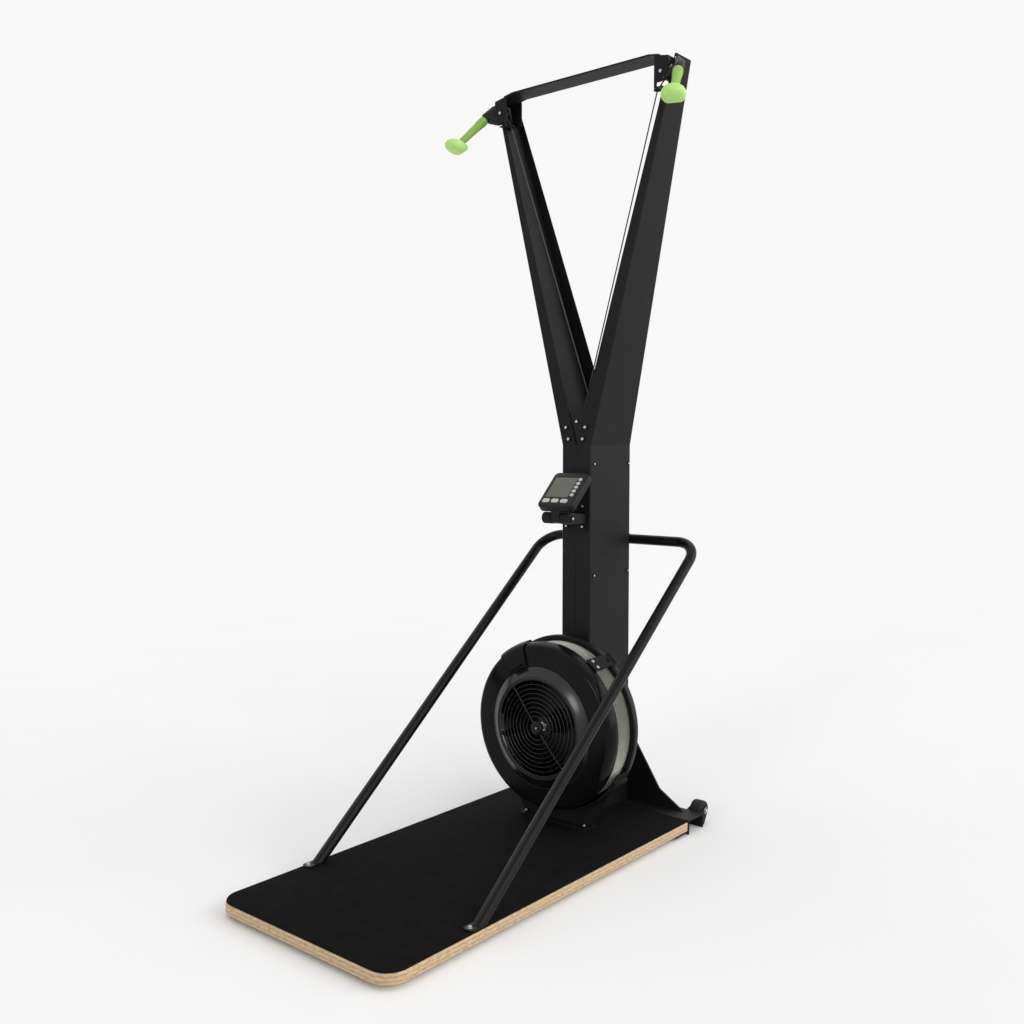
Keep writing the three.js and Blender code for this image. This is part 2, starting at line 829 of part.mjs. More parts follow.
function buildMast() {
  const axes = [new THREE.Vector3(1, 0, 0), new THREE.Vector3(0, 1, 0)];
  const sections = [channelSection(0, seatGap), channelSection(kinkHeight, 0), channelSection(armTopHeight, 0)];
  const studHoles = studPlaces.filter(([x]) => x > 0).map(([x, height]) => rodBack(
    x, deckTop + height, studRadius + seatGap, mastFront - cutOverrun, mastFront + mastSheet + cutOverrun));
  const bearingHole = rodBack(0, fanHeight, bearingRadius + seatGap, mastFront - cutOverrun, mastRear + cutOverrun, roundSides);
  const low = headTongueBottom - headSheet;
  const high = armTopHeight + cutOverrun;
  const flangeCut = prismBack(outline([
    [headInner - headTongueWidth, deckTop + low], [webFace(low), deckTop + low],
    [webFace(high), deckTop + high], [headInner - headTongueWidth, deckTop + high],
  ]), headFront, mastFront + armTopSetBack + mastSheet + seatGap);
  const channel = cut(
    loft(sections, axes), ...studHoles, bearingHole, flangeCut, housingEnvelope(2 * seatGap));
  const bolts = sideBoltHeights.flatMap((height) => [
    rodAcross(mastFront + sideBoltInset, deckTop + height, sideBoltRadius,
      mastHalfWidth - cutOverrun, mastHalfWidth + sideBoltHead, boltSides),
    rodAcross(mastRear - sideBoltRearInset, deckTop + height, sideBoltRadius,
      mastHalfWidth - cutOverrun, mastHalfWidth + sideBoltHead, boltSides),
  ]);
  addPair('mast_channel', join(channel, ...bolts), blackPaint);
}

// Idler plate: bridges the fork, with five studs through the flanges and two idler pins
function buildIdlers() {
  const front = mastAt(idlerPlateTop).front + mastSheet + seatGap;
  const back = front + idlerPlateSheet;
  const half = (height) => mastAt(height).half - mastSheet - 2 * seatGap;
  const plate = outline([
    [-half(idlerPlateBottom), deckTop + idlerPlateBottom],
    [half(idlerPlateBottom), deckTop + idlerPlateBottom],
    [half(kinkHeight), deckTop + kinkHeight],
    [half(idlerPlateTop), deckTop + idlerPlateTop],
    [-half(idlerPlateTop), deckTop + idlerPlateTop],
    [-half(kinkHeight), deckTop + kinkHeight],
  ]);
  const studs = studPlaces.flatMap(([x, height]) => {
    const headBack = x === 0 ? front + rootOverlap : mastFront - seatGap;
    return [
      rodBack(x, deckTop + height, studRadius, headBack - studHeadHeight / 2, front + idlerPlateSheet / 2, boltSides),
      rodBack(x, deckTop + height, studHeadRadius, headBack - studHeadHeight, headBack, boltSides),
    ];
  });
  const pins = [[idlerCentreHalf, leftCordPlane], [-idlerCentreHalf, rightCordPlane]].flatMap(([x, plane]) => {
    const end = plane + idlerWidth / 2 + seatGap;
    return [
      rodBack(x, deckTop + idlerCentreHeight, idlerPinRadius, back - idlerPlateSheet / 2, end + idlerCollarWidth),
      rodBack(x, deckTop + idlerCentreHeight, idlerCollarRadius, end, end + idlerCollarWidth),
    ];
  });
  add('idler_plate', join(prismBack(plate, front, back), ...studs, ...pins), blackPaint);

  const idler = grooved(idlerRadius, idlerWidth, idlerPinRadius + seatGap);
  add('left_idler', idler.clone().translate(idlerCentreHalf, leftCordPlane, deckTop + idlerCentreHeight), blackPlastic);
  add('right_idler', idler.clone().translate(-idlerCentreHalf, rightCordPlane, deckTop + idlerCentreHeight), blackPlastic);
}

// A grooved wheel on the Y axis: the cord's centre line runs at the pitch radius
function grooved(pitch, width, bore) {
  const root = pitch - cordRadius - seatGap;
  const rim = pitch + grooveLip;
  const half = width / 2;
  const profile = [
    [bore, -half], [rim, -half], [rim, -half + grooveEdge], [root, -grooveRootShare * cordRadius],
    [root, grooveRootShare * cordRadius], [rim, half - grooveEdge], [rim, half], [bore, half],
  ];
  const points = profile.map(([radius, y]) => new THREE.Vector2(radius, y));
  return new THREE.LatheGeometry([...points, points[0]], pulleySides);
}

// Spools on the axle inside the mast, and the axle's two bearings in the mast's flanges
function buildSpools() {
  const drum = spoolRadius - cordRadius - seatGap;
  const rim = spoolRadius + grooveLip + cordRadius;
  const bore = axleRadius + seatGap;
  const names = ['left_spool', 'right_spool'];
  names.forEach((name, i) => {
    const front = spoolFrontFace + i * (spoolWidth + spoolGap);
    const back = front + spoolWidth;
    const profile = [
      [bore, front], [rim, front], [rim, front + spoolFlange], [drum, front + spoolFlange + spoolFillet],
      [drum, back - spoolFlange - spoolFillet], [rim, back - spoolFlange], [rim, back], [bore, back],
    ];
    add(name, turnedRing(profile, pulleySides), zincSteel);
  });
}

function buildBungee() {
  const low = deckTop + bungeeLow;
  const high = deckTop + bungeeHigh;
  const half = bungeeHalf;
  const corners = [
    new THREE.Vector3(-half, bungeeDistance, low), new THREE.Vector3(-half, bungeeDistance, high),
    new THREE.Vector3(half, bungeeDistance, high), new THREE.Vector3(half, bungeeDistance, low),
  ];
  add('return_bungee', tube(bend(corners, half - seatGap, 5), bungeeRadius, cordSides), cordFibre);

  const wide = mastHalfWidth - mastSheet - seatGap;
  const bar = high - half;
  const reach = half - bungeeRadius - 2 * seatGap;
  const plateFront = bungeeDistance + bungeeRadius + seatGap;
  const plate = block(-wide, wide, plateFront, plateFront + bungeeBracketSheet,
    bar - bungeeBracketDrop, bar + bungeeBracketDrop);
  const flanges = [-1, 1].map((side) => block(
    Math.min(side * wide, side * (wide - bungeeBracketSheet)), Math.max(side * wide, side * (wide - bungeeBracketSheet)),
    plateFront, plateFront + bungeeBracketDrop, bar - bungeeBracketDrop, bar + bungeeBracketDrop));
  const pin = rodBack(0, bar, reach, bungeeDistance - bungeeRadius, plateFront + rootOverlap);
  add('bungee_bracket', join(plate, ...flanges, pin), zincSteel);
}

function buildBearings() {
  const ring = (front, shoulderFront) => {
    const back = front + bearingSheet;
    const profile = [
      [axleRadius + seatGap, front], [bearingRadius, front], [bearingRadius, back], [axleRadius + seatGap, back],
    ];
    const shoulder = bearingRadius + bearingFlange;
    const shoulderBack = shoulderFront + bearingFlangeSheet;
    const flange = [
      [bearingRadius - rootOverlap, shoulderFront], [shoulder, shoulderFront],
      [shoulder, shoulderBack], [bearingRadius - rootOverlap, shoulderBack],
    ];
    return join(turnedRing(profile, roundSides), turnedRing(flange, roundSides));
  };
  const frontInside = mastFront + mastSheet + seatGap;
  const rearInside = mastRear - mastSheet - seatGap;
  add('front_bearing', ring(frontInside - bearingSheet + bearingFlangeSheet, frontInside), zincSteel);
  const rearShoulder = rearInside - bearingFlangeSheet;
  add('rear_bearing', ring(rearShoulder, rearShoulder), zincSteel);
}

// Fan wheel: hub, back disc, curved blades and a front ring, fixed on the axle
function buildFan() {
  const discBack = fanDiscFront + fanDiscSheet;
  const bore = axleRadius + seatGap;
  const body = turnedRing([
    [bore, fanHubFront], [fanHubRadius, fanHubFront], [fanHubRadius + fanHubFlare, fanDiscFront - fanHubRun],
    [fanHubRadius + fanHubFoot, fanDiscFront], [fanRadius, fanDiscFront], [fanRadius, discBack], [bore, discBack],
  ], roundSides);
  const ring = turnedRing([
    [fanRadius - fanRingWidth, fanBladeFront], [fanRadius, fanBladeFront],
    [fanRadius, fanBladeFront + fanRingSheet], [fanRadius - fanRingWidth, fanBladeFront + fanRingSheet],
  ], roundSides);
  const length = fanRadius - fanBladeInset - fanBladeInner;
  const blade = block(
    fanBladeInner, fanBladeInner + length, fanBladeFront + rootOverlap, fanDiscFront + rootOverlap,
    -fanBladeSheet / 2, fanBladeSheet / 2);
  const middle = fanBladeInner + length / 2;
  const blades = Array.from({ length: fanBladeCount }, (_, i) => blade.clone()
    .translate(-middle, 0, 0).rotateY(fanBladeLean).translate(middle - length * (1 - Math.cos(fanBladeLean)) / 2, 0, 0)
    .rotateY(2 * Math.PI * i / fanBladeCount).translate(0, 0, fanHeight));
  add('fan_wheel', join(body, ring, ...blades), blackPlastic);

  const tip = coverFace + coverThroatDepth - grilleDome + grilleHubHeight + axleTipGap;
  const axle = join(
    rodBack(0, fanHeight, axleRadius, tip, mastRear - seatGap, axleSides),
    rodBack(0, fanHeight, axleRadius + axleCollarStep, fanHubFront - axleCollarWidth, fanHubFront - seatGap, nutSides),
  );
  add('fan_axle', axle, zincSteel);
}

// The front cover's outer skin, from the rim's back edge in to the lip of the throat
const coverSkin = coverSkinShares.map(([inwardShare, backShare]) => [
  coverRimRadius - inwardShare * coverRimWidth, coverFace + backShare * coverDepth,
]);

// Housing of the fan: domed front cover, mesh band and rear cover
function buildHousing() {
  const outer = [...coverSkin, [coverThroatRadius, coverFace + coverThroatDepth]];
  const inner = offsetProfile(outer, -coverSheet);
  const lipFront = coverBackEdge - coverLipDepth;
  inner[0] = [inner[0][0], lipFront];
  const lip = [[meshRadius + seatGap, lipFront], [meshRadius + seatGap, coverBackEdge]];
  const shell = turnedRing([...outer, ...inner.reverse(), ...lip].reverse());
  const slotFrom = damperLeverAngle - damperTravelUp - damperSlotMargin;
  const slotTo = damperLeverAngle + damperTravelDown + damperSlotMargin;
  add('fan_front_cover', cut(shell, damperSlot(slotFrom, slotTo)), blackPlastic);

  const band = [
    [meshRadius - meshSheet, coverBackEdge - meshTuck], [meshRadius, coverBackEdge - meshTuck],
    [meshRadius, meshBack], [meshRadius - meshSheet, meshBack],
  ];
  add('fan_mesh_band', turnedRing(band), wireMesh);

  const mouth = meshRadius + seatGap;
  const shoulder = rearRimRadius - rearShoulderWidth;
  const rear = turnedRing([
    [mouth, meshBack - meshTuck], [rearRimRadius, meshBack - meshTuck], [rearRimRadius, rearRimBack],
    [shoulder, rearRimBack + rearShoulderDepth], [rearFaceRadius, rearFace],
    [rearBossRadius, mastFront - seatGap], [bearingRadius + bearingRoom, mastFront - seatGap],
    [bearingRadius + bearingRoom, rearFace - coverSheet], [rearFaceRadius, rearFace - coverSheet],
    [shoulder - rearInnerStep, rearRimBack + rearShoulderDepth - rearInnerRise], [mouth, rearRimBack - rearInnerDrop],
  ]);
  add('fan_rear_cover', rear, blackPlastic);
}

// The arc that the damper's stem sweeps through the cover's rim, left of the top
function damperSlot(from, to) {
  const shape = new THREE.Shape();
  const start = Math.PI / 2 + THREE.MathUtils.degToRad(from);
  const end = Math.PI / 2 + THREE.MathUtils.degToRad(to);
  shape.absarc(0, fanHeight, coverRimRadius + cutOverrun, start, end);
  shape.absarc(0, fanHeight, coverRimRadius - 3 * coverSheet, end, start, true);
  return prismBack(shape, damperSlotFront - seatGap, damperSlotFront + damperSlotDepth + seatGap, sweepSteps);
}

// Grille: concentric wires on a shallow dome, joined by one diameter and a hub disc
function buildGrille() {
  const outerRadius = coverThroatRadius - grilleWire / 2 - seatGap;
  const throat = coverFace + coverThroatDepth + coverSheet;
  const domed = (radius) => throat - grilleDome * (1 - (radius / outerRadius) ** 2);
  const half = grilleWire / 2;
  const rings = Array.from({ length: grilleRingCount - 1 }, (_, i) => {
    const radius = grilleInnerRadius + (outerRadius - grilleInnerRadius) * i / (grilleRingCount - 1);
    const middle = domed(radius);
    return turnedRing([
      [radius - half, middle + half], [radius, middle - half], [radius + half, middle + half],
    ], Math.round(grilleSides * (0.5 + 0.5 * radius / outerRadius)));
  });
  const hubFront = domed(0) - half;
  const hub = turned([
    [0, hubFront], [grilleHubRadius - grilleHubEdge, hubFront], [grilleHubRadius, hubFront + grilleHubStep],
    [grilleHubRadius, hubFront + grilleHubHeight], [0, hubFront + grilleHubHeight],
  ], grilleSides);
  const strutSpan = [-0.99, -0.5, 0, 0.5, 0.99].map((share) => share * outerRadius);
  const strutSide = (offset) => strutSpan.map((x) => [x, domed(Math.abs(x)) + offset]);
  const strutShape = outline([...strutSide(grilleWire * 0.2), ...strutSide(grilleWire * 0.7).reverse()]);
  const strut = new THREE.ExtrudeGeometry(strutShape, plain(grilleStrutWidth)).translate(0, 0, -grilleStrutWidth / 2);
  strut.rotateY(THREE.MathUtils.degToRad(grilleStrutAngle - 90)).translate(0, 0, fanHeight);
  const seat = turnedRing([
    [outerRadius - half, throat - half], [outerRadius, throat - half],
    [outerRadius + half + grilleSeatWidth, throat + grilleSeatStep],
    [outerRadius + half + grilleSeatWidth, throat + grilleSeatDepth], [outerRadius - half, throat + grilleSeatDepth],
  ], grilleSides);
  add('fan_grille', join(...rings, hub, strut, seat), blackPaint);
}

// Damper: a shutter ring with windows inside the mesh, and its lever, a plate over the front cover
function buildDamper() {
  const front = damperSlotFront;
  const stemBack = front + damperSlotDepth;
  const ring = turnedRing([
    [damperRadius - damperSheet, front], [damperRadius, front],
    [damperRadius, front + damperDepth], [damperRadius - damperSheet, front + damperDepth],
  ]);
  const pitch = 2 * Math.PI / damperWindowCount;
  const windows = Array.from({ length: damperWindowCount }, (_, i) => {
    const width = 2 * damperRadius * Math.sin(pitch * damperWindowShare / 2);
    return block(-width / 2, width / 2, stemBack + damperSlotDepth, front + damperDepth - damperSlotDepth,
      damperRadius - 4 * damperSheet, damperRadius + 2 * damperSheet)
      .rotateY(pitch * (i + 0.5)).translate(0, 0, fanHeight);
  });
  const shutter = cut(ring, ...windows);

  const skin = [...coverSkin.slice(1, -1), [coverLipRadius + damperLipInset, coverFace]];
  const layer = (lift) => [[coverRimRadius + lift, stemBack], ...offsetProfile(skin, lift)];
  const near = layer(damperSkinClearance);
  const far = layer(damperSkinClearance + damperLeverSheet);
  const plate = turnedRing([...near, ...far.reverse()]);
  const wedge = new THREE.Shape();
  const middle = Math.PI / 2 + THREE.MathUtils.degToRad(damperLeverAngle);
  const half = THREE.MathUtils.degToRad(damperSectorHalfAngle);
  wedge.absarc(0, fanHeight, 2 * coverRimRadius, middle - half, middle + half);
  wedge.lineTo(0, fanHeight);
  const sector = overlap(plate, prismBack(wedge, coverFace - coverDepth, coverBackEdge));

  const stem = block(
    -damperLeverWidth / 2, damperLeverWidth / 2, front, stemBack,
    damperRadius - damperSheet / 2, coverRimRadius + damperSkinClearance + damperLeverSheet / 2);
  const tabRadius = coverLipRadius + damperTabInset;
  const tabBase = coverFace - damperSkinClearance - damperLeverSheet / 2;
  const tab = block(
    -damperTabWidth / 2, damperTabWidth / 2, tabBase - damperTabHeight, tabBase,
    tabRadius - damperTabSheet / 2, tabRadius + damperTabSheet / 2);
  const turn = -THREE.MathUtils.degToRad(damperLeverAngle);
  const whole = [stem, tab].map((piece) => piece.rotateY(turn).translate(0, 0, fanHeight));
  add('damper_ring', join(shutter, sector, ...whole), blackPlastic);
}

// Clips that hold the two covers together over the mesh, and the cradle under them
function buildClips() {
  const seat = rearRimRadius + seatGap;
  const outer = seat + clipStandOff;
  const front = coverBackEdge - clipFrontTuck;
  const back = rearRimBack + clipRearReach;
  const step = meshBack - clipStepTuck;
  const profile = outline([
    [front, coverRimRadius + seatGap], [step, seat], [back, seat], [back, outer],
    [back - clipLegLength, outer], [back - clipFootShare * clipLegLength, seat + clipSheet],
    [step, seat + clipSheet], [front, coverRimRadius + seatGap + clipSheet],
  ]);
  const strap = prismAcross(profile, -clipWidth / 2, clipWidth / 2);
  const bolt = rodUp(0, (step + meshBack) / 2, clipSheet, seat + clipSheet / 2, seat + 2 * clipSheet, boltSides);
  const clip = join(strap, bolt);
  for (const [name, side] of [['right', 1], ['left', -1]]) {
    add(`${name}_cover_clip`, clip.clone().rotateY(side * THREE.MathUtils.degToRad(clipAngle))
      .translate(0, 0, fanHeight), blackPaint);
  }
}

function buildCradle() {
  const inner = rearRimRadius + seatGap;
  const outer = inner + cradleSheet;
  const half = THREE.MathUtils.degToRad(cradleHalfAngle);
  const start = -Math.PI / 2 - half;
  const end = -Math.PI / 2 + half;
  const strapShape = new THREE.Shape();
  strapShape.absarc(0, fanHeight, outer, start, end);
  strapShape.absarc(0, fanHeight, inner, end, start, true);
  const foot = deckTop + seatGap;
  const back = cradleBack;
  const middle = cradleFront + cradleDepth / 2;
  const strap = prismBack(strapShape, cradleFront, back, sweepSteps);
  const sill = block(-cradleFootHalf, cradleFootHalf, cradleFront, back, foot, foot + cradleSheet);
  const wingShape = new THREE.Shape();
  const reach = outer * Math.sin(half);
  const wingTop = fanHeight - outer * Math.cos(half);
  wingShape.moveTo(-cradleFootHalf, foot + cradleSheet / 2);
  wingShape.lineTo(cradleFootHalf, foot + cradleSheet / 2);
  wingShape.lineTo(reach, wingTop);
  wingShape.absarc(0, fanHeight, inner + cradleSheet / 2, end, start, true);
  wingShape.lineTo(-reach, wingTop);
  const wing = prismBack(wingShape, middle - cradleSheet / 2, middle + cradleSheet / 2, sweepSteps);
  const bolts = [-1, 1].flatMap((side) => [cradleFront + cradleBoltInset, back - cradleBoltInset].map((distance) => rodUp(
    side * (cradleFootHalf - cradleBoltInset), distance, cradleBoltRadius, foot + cradleSheet / 2, foot + 2 * cradleSheet,
    boltSides)));
  const grips = [-1, 1].map((side) => {
    const angle = side * half;
    return block(
      -clipSheet, clipSheet * 2, cradleFront - cradleGripReach, back, outer - rootOverlap, outer + cradleGripHeight)
      .rotateY(Math.PI - angle * cradleGripAngleShare).translate(0, 0, fanHeight);
  });
  add('fan_cradle', join(strap, sill, wing, ...bolts, ...grips), blackPaint);
}

// Handrail hoop: one bent tube from deck to deck, passing behind the mast
const hoopDistance = mastRear + seatGap + hoopRadius;

function buildHoop() {
  const foot = deckTop + seatGap;
  const low = foot - hoopRadius;
  const rail = deckTop + hoopHeight;
  const slope = (hoopDistance - hoopFootDistance) / hoopHeight;
  const footY = hoopFootDistance - slope * (deckTop - low);
  const corners = [
    new THREE.Vector3(-hoopHalfWidth, footY, low),
    new THREE.Vector3(-hoopHalfWidth, hoopDistance, rail),
    new THREE.Vector3(hoopHalfWidth, hoopDistance, rail),
    new THREE.Vector3(hoopHalfWidth, footY, low),
  ];
  const rough = tube(bend(corners, hoopBend, hoopBendSteps), hoopRadius, hoopSides);
  const ground = block(
    -deckWidth, deckWidth, 0, hoopFootDistance + 6 * hoopRadius, low - 4 * hoopRadius, foot);
  const trimmed = cut(rough, ground);
  const tabFront = hoopFootDistance - hoopTabLength;
  const tabs = [-1, 1].flatMap((side) => [
    prismUp(roundedRectangle(hoopTabWidth, hoopTabLength + hoopRadius, hoopRadius * 0.7,
      side * hoopHalfWidth - side * (hoopTabWidth / 2 - hoopRadius), tabFront + (hoopTabLength + hoopRadius) / 2),
    foot, foot + hoopTabSheet),
    rodUp(side * hoopHalfWidth, tabFront + hoopRadius, hoopBoltRadius, foot + hoopTabSheet / 2,
      foot + hoopTabSheet + hoopBoltHead, boltSides),
  ]);
  add('handrail_hoop', join(trimmed, ...tabs), blackPaint);

  const shape = new THREE.Shape();
  const inner = hoopRadius + seatGap;
  const outer = inner + saddleSheet;
  const face = mastRear + seatGap;
  shape.moveTo(face, rail + outer + saddleEar);
  shape.lineTo(face, rail + inner);
  shape.lineTo(hoopDistance, rail + inner);
  shape.absarc(hoopDistance, rail, inner, Math.PI / 2, -Math.PI / 2, true);
  shape.lineTo(face, rail - inner);
  shape.lineTo(face, rail - outer - saddleEar);
  shape.lineTo(face + saddleSheet, rail - outer - saddleEar);
  shape.lineTo(face + saddleSheet, rail - outer);
  shape.lineTo(hoopDistance, rail - outer);
  shape.absarc(hoopDistance, rail, outer, -Math.PI / 2, Math.PI / 2, false);
  shape.lineTo(face + saddleSheet, rail + outer);
  shape.lineTo(face + saddleSheet, rail + outer + saddleEar);
  const heads = [-1, 1].flatMap((side) => [-1, 1].map((level) => rodBack(
    side * saddleWidth / 4, rail + level * (outer + saddleEar / 2), backPlateBoltRadius,
    face + saddleSheet / 2, face + saddleSheet + backPlateBoltHead, boltSides)));
  add('hoop_saddle', join(prismAcross(shape, -saddleWidth / 2, saddleWidth / 2, 3 * cornerSteps), ...heads), blackPaint);
}

// Crossbar: a flat strap across the arm tops, its ends bent down onto the head brackets
function buildCrossbar() {
  const drop = (crossbarHalfWidth - crossbarHalfFlat) * Math.tan(THREE.MathUtils.degToRad(crossbarDrop));
  const base = deckTop + crossbarHeight;
  const side = (lift) => [
    [-crossbarHalfWidth, base - drop + lift], [-crossbarHalfFlat, base + lift],
    [crossbarHalfFlat, base + lift], [crossbarHalfWidth, base - drop + lift],
  ];
  const shape = outline([...side(0), ...side(crossbarSheet).reverse()]);
  add('crossbar', prismBack(shape, crossbarFront, crossbarFront + crossbarDepth), blackPaint);
}

// Head bracket: an inverted channel under the strap's end, with the cord's eyelet on a tongue
function buildHeadBrackets() {
  const drop = Math.tan(THREE.MathUtils.degToRad(crossbarDrop));
  const under = (x) => deckTop + crossbarHeight - Math.max(0, x - crossbarHalfFlat) * drop - seatGap;
  const back = headFront + headDepth;
  const roof = prismBack(outline([
    [headInner, under(headInner) - headSheet], [headOuter, under(headOuter) - headSheet],
    [headOuter, under(headOuter)], [headInner, under(headInner)],
  ]), headFront, back);
  const wall = (foot) => outline([
    [headInner, deckTop + headPlateBottom], [foot, deckTop + headPlateBottom],
    [headOuter, under(headOuter) - headSheet / 2], [headInner, under(headInner) - headSheet / 2],
  ]);
  const frontWall = prismBack(wall(headOuter), headFront, headFront + headSheet);
  const rearWall = prismBack(wall(webFace(headPlateBottom)), back - headSheet, back);
  const tongueBottom = deckTop + headTongueBottom;
  const tongue = block(
    headInner, headInner + headTongueWidth, headFront, headFront + headTongueDepth,
    tongueBottom, tongueBottom + headSheet);
  const leg = block(
    headInner, headInner + headLegWidth, headFront, headFront + headSheet,
    tongueBottom + headSheet / 2, deckTop + headPlateBottom + headSheet);
  const bolt = rodBack(
    (headInner + headOuter) / 2, deckTop + headBoltHeight, headBoltRadius,
    headFront - headSheet, headFront + headSheet / 2, boltSides);
  const ringProfile = Array.from({ length: eyeletSides }, (_, i) => {
    const angle = 2 * Math.PI * i / eyeletSides;
    return new THREE.Vector2(
      eyeletRadius + eyeletWire + eyeletWire * Math.cos(angle), eyeletWire * Math.sin(angle));
  });
  const ring = new THREE.LatheGeometry([...ringProfile, ringProfile[0]], smallSides)
    .rotateX(Math.PI / 2).translate(eyeletX, eyeletDistance, tongueBottom + headSheet / 2);
  const hole = rodUp(eyeletX, eyeletDistance, eyeletRadius, tongueBottom - cutOverrun, tongueBottom + headSheet + cutOverrun);
  const cordWay = rodBetween(
    eyelet, sheaveMiddle.clone().addScaledVector(entryRay, sheaveRadius), cordRadius + 2 * seatGap);
  const whole = join(roof, frontWall, rearWall, tongue, leg, bolt, ring);
  addPair('head_bracket', cut(whole, hole, cordWay, housingEnvelope(2 * seatGap)), blackPaint);
}

// Top sheave: its plane holds the eyelet, its own centre and the line of pull
const eyelet = new THREE.Vector3(eyeletX, eyeletDistance, deckTop + headTongueBottom + headSheet / 2);
const sheaveMiddle = new THREE.Vector3(
  armTopHalfWidth - sheaveInset, mastFront + armTopSetBack, deckTop + armTopHeight - sheaveDrop);
const sheaveAxis = new THREE.Vector3().subVectors(sheaveMiddle, eyelet).cross(pullDirection).normalize();
const sheaveUp = new THREE.Vector3().crossVectors(pullDirection, sheaveAxis)
  .multiplyScalar(Math.sign(new THREE.Vector3().crossVectors(pullDirection, sheaveAxis).z));
const pullStart = sheaveMiddle.clone().addScaledVector(sheaveUp, sheaveRadius);
const noseEnd = pullStart.clone().addScaledVector(pullDirection, noseLength);
const housingRadius = sheaveRadius + grooveLip + housingRoom + housingWall;

// Angle about the sheave's axis, from the point where the pull starts towards the eyelet
function sheaveEntry() {
  const reach = new THREE.Vector3().subVectors(eyelet, sheaveMiddle);
  const spread = Math.acos(sheaveRadius / reach.length());
  const sweepSign = Math.sign(new THREE.Vector3().crossVectors(pullDirection, sheaveUp).dot(sheaveAxis));
  const entry = reach.clone().normalize().applyAxisAngle(sheaveAxis, -sweepSign * spread);
  const other = reach.clone().normalize().applyAxisAngle(sheaveAxis, sweepSign * spread);
  return entry.dot(pullDirection) < other.dot(pullDirection) ? entry : other;
}

const entryRay = sheaveEntry();

function sheaveArc(steps) {
  const angle = entryRay.angleTo(sheaveUp);
  const axis = new THREE.Vector3().crossVectors(entryRay, sheaveUp).normalize();
  return Array.from({ length: steps + 1 }, (_, i) => sheaveMiddle.clone()
    .addScaledVector(entryRay.clone().applyAxisAngle(axis, angle * i / steps), sheaveRadius));
}

function onSheaveAxis(geometry) {
  const turn = new THREE.Quaternion().setFromUnitVectors(new THREE.Vector3(0, 1, 0), sheaveAxis);
  return geometry.applyQuaternion(turn).translate(sheaveMiddle.x, sheaveMiddle.y, sheaveMiddle.z);
}

// The space that the sheave's housing takes, grown by a clearance
function housingEnvelope(clearance) {
  const disc = onSheaveAxis(new THREE.CylinderGeometry(
    housingRadius + clearance, housingRadius + clearance, 2 * (housingHalfWidth + clearance), housingSides));
  const nose = rodBetween(pullStart, noseEnd, noseRadius + clearance);
  return join(disc, nose);
}

function buildHeads() {
  const half = housingHalfWidth;
  const bulge = housingBulgeShare * half;
  const shellProfile = [
    [0, -half], [housingRadius * housingFaceShare, -half], [housingRadius, -half + bulge],
    [housingRadius, half - bulge], [housingRadius * housingFaceShare, half], [0, half],
  ].map(([radius, y]) => new THREE.Vector2(radius, y));
  const shell = onSheaveAxis(new THREE.LatheGeometry(shellProfile, housingSides));
  const nose = rodBetween(pullStart, noseEnd, noseRadius, housingSides);
  const roomRadius = sheaveRadius + grooveLip + housingRoom;
  const room = onSheaveAxis(new THREE.CylinderGeometry(
    roomRadius, roomRadius, sheaveWidth + housingRoom, housingSides));
  const bore = rodBetween(
    pullStart.clone().addScaledVector(pullDirection, -cutOverrun),
    noseEnd.clone().addScaledVector(pullDirection, cutOverrun), noseBore);
  const entryPoint = sheaveMiddle.clone().addScaledVector(entryRay, sheaveRadius);
  const entry = rodBetween(entryPoint, eyelet, noseBore);
  const pinHole = onSheaveAxis(new THREE.CylinderGeometry(
    sheavePinRadius + seatGap, sheavePinRadius + seatGap, 4 * half, smallSides));
  addPair('sheave_housing', cut(join(shell, nose), room, bore, entry, pinHole), blackPlastic);

  const sheave = grooved(sheaveRadius, sheaveWidth, sheavePinRadius + seatGap);
  addPair('sheave', onSheaveAxis(sheave), blackPlastic);

  const headAt = half + seatGap + sheavePinHead / 2;
  const head = () => new THREE.CylinderGeometry(sheavePinHeadRadius, sheavePinHeadRadius, sheavePinHead, boltSides);
  const pin = join(
    new THREE.CylinderGeometry(sheavePinRadius, sheavePinRadius, 2 * headAt, smallSides),
    head().translate(0, headAt, 0), head().translate(0, -headAt, 0));
  addPair('sheave_pin', onSheaveAxis(pin), zincSteel);
}

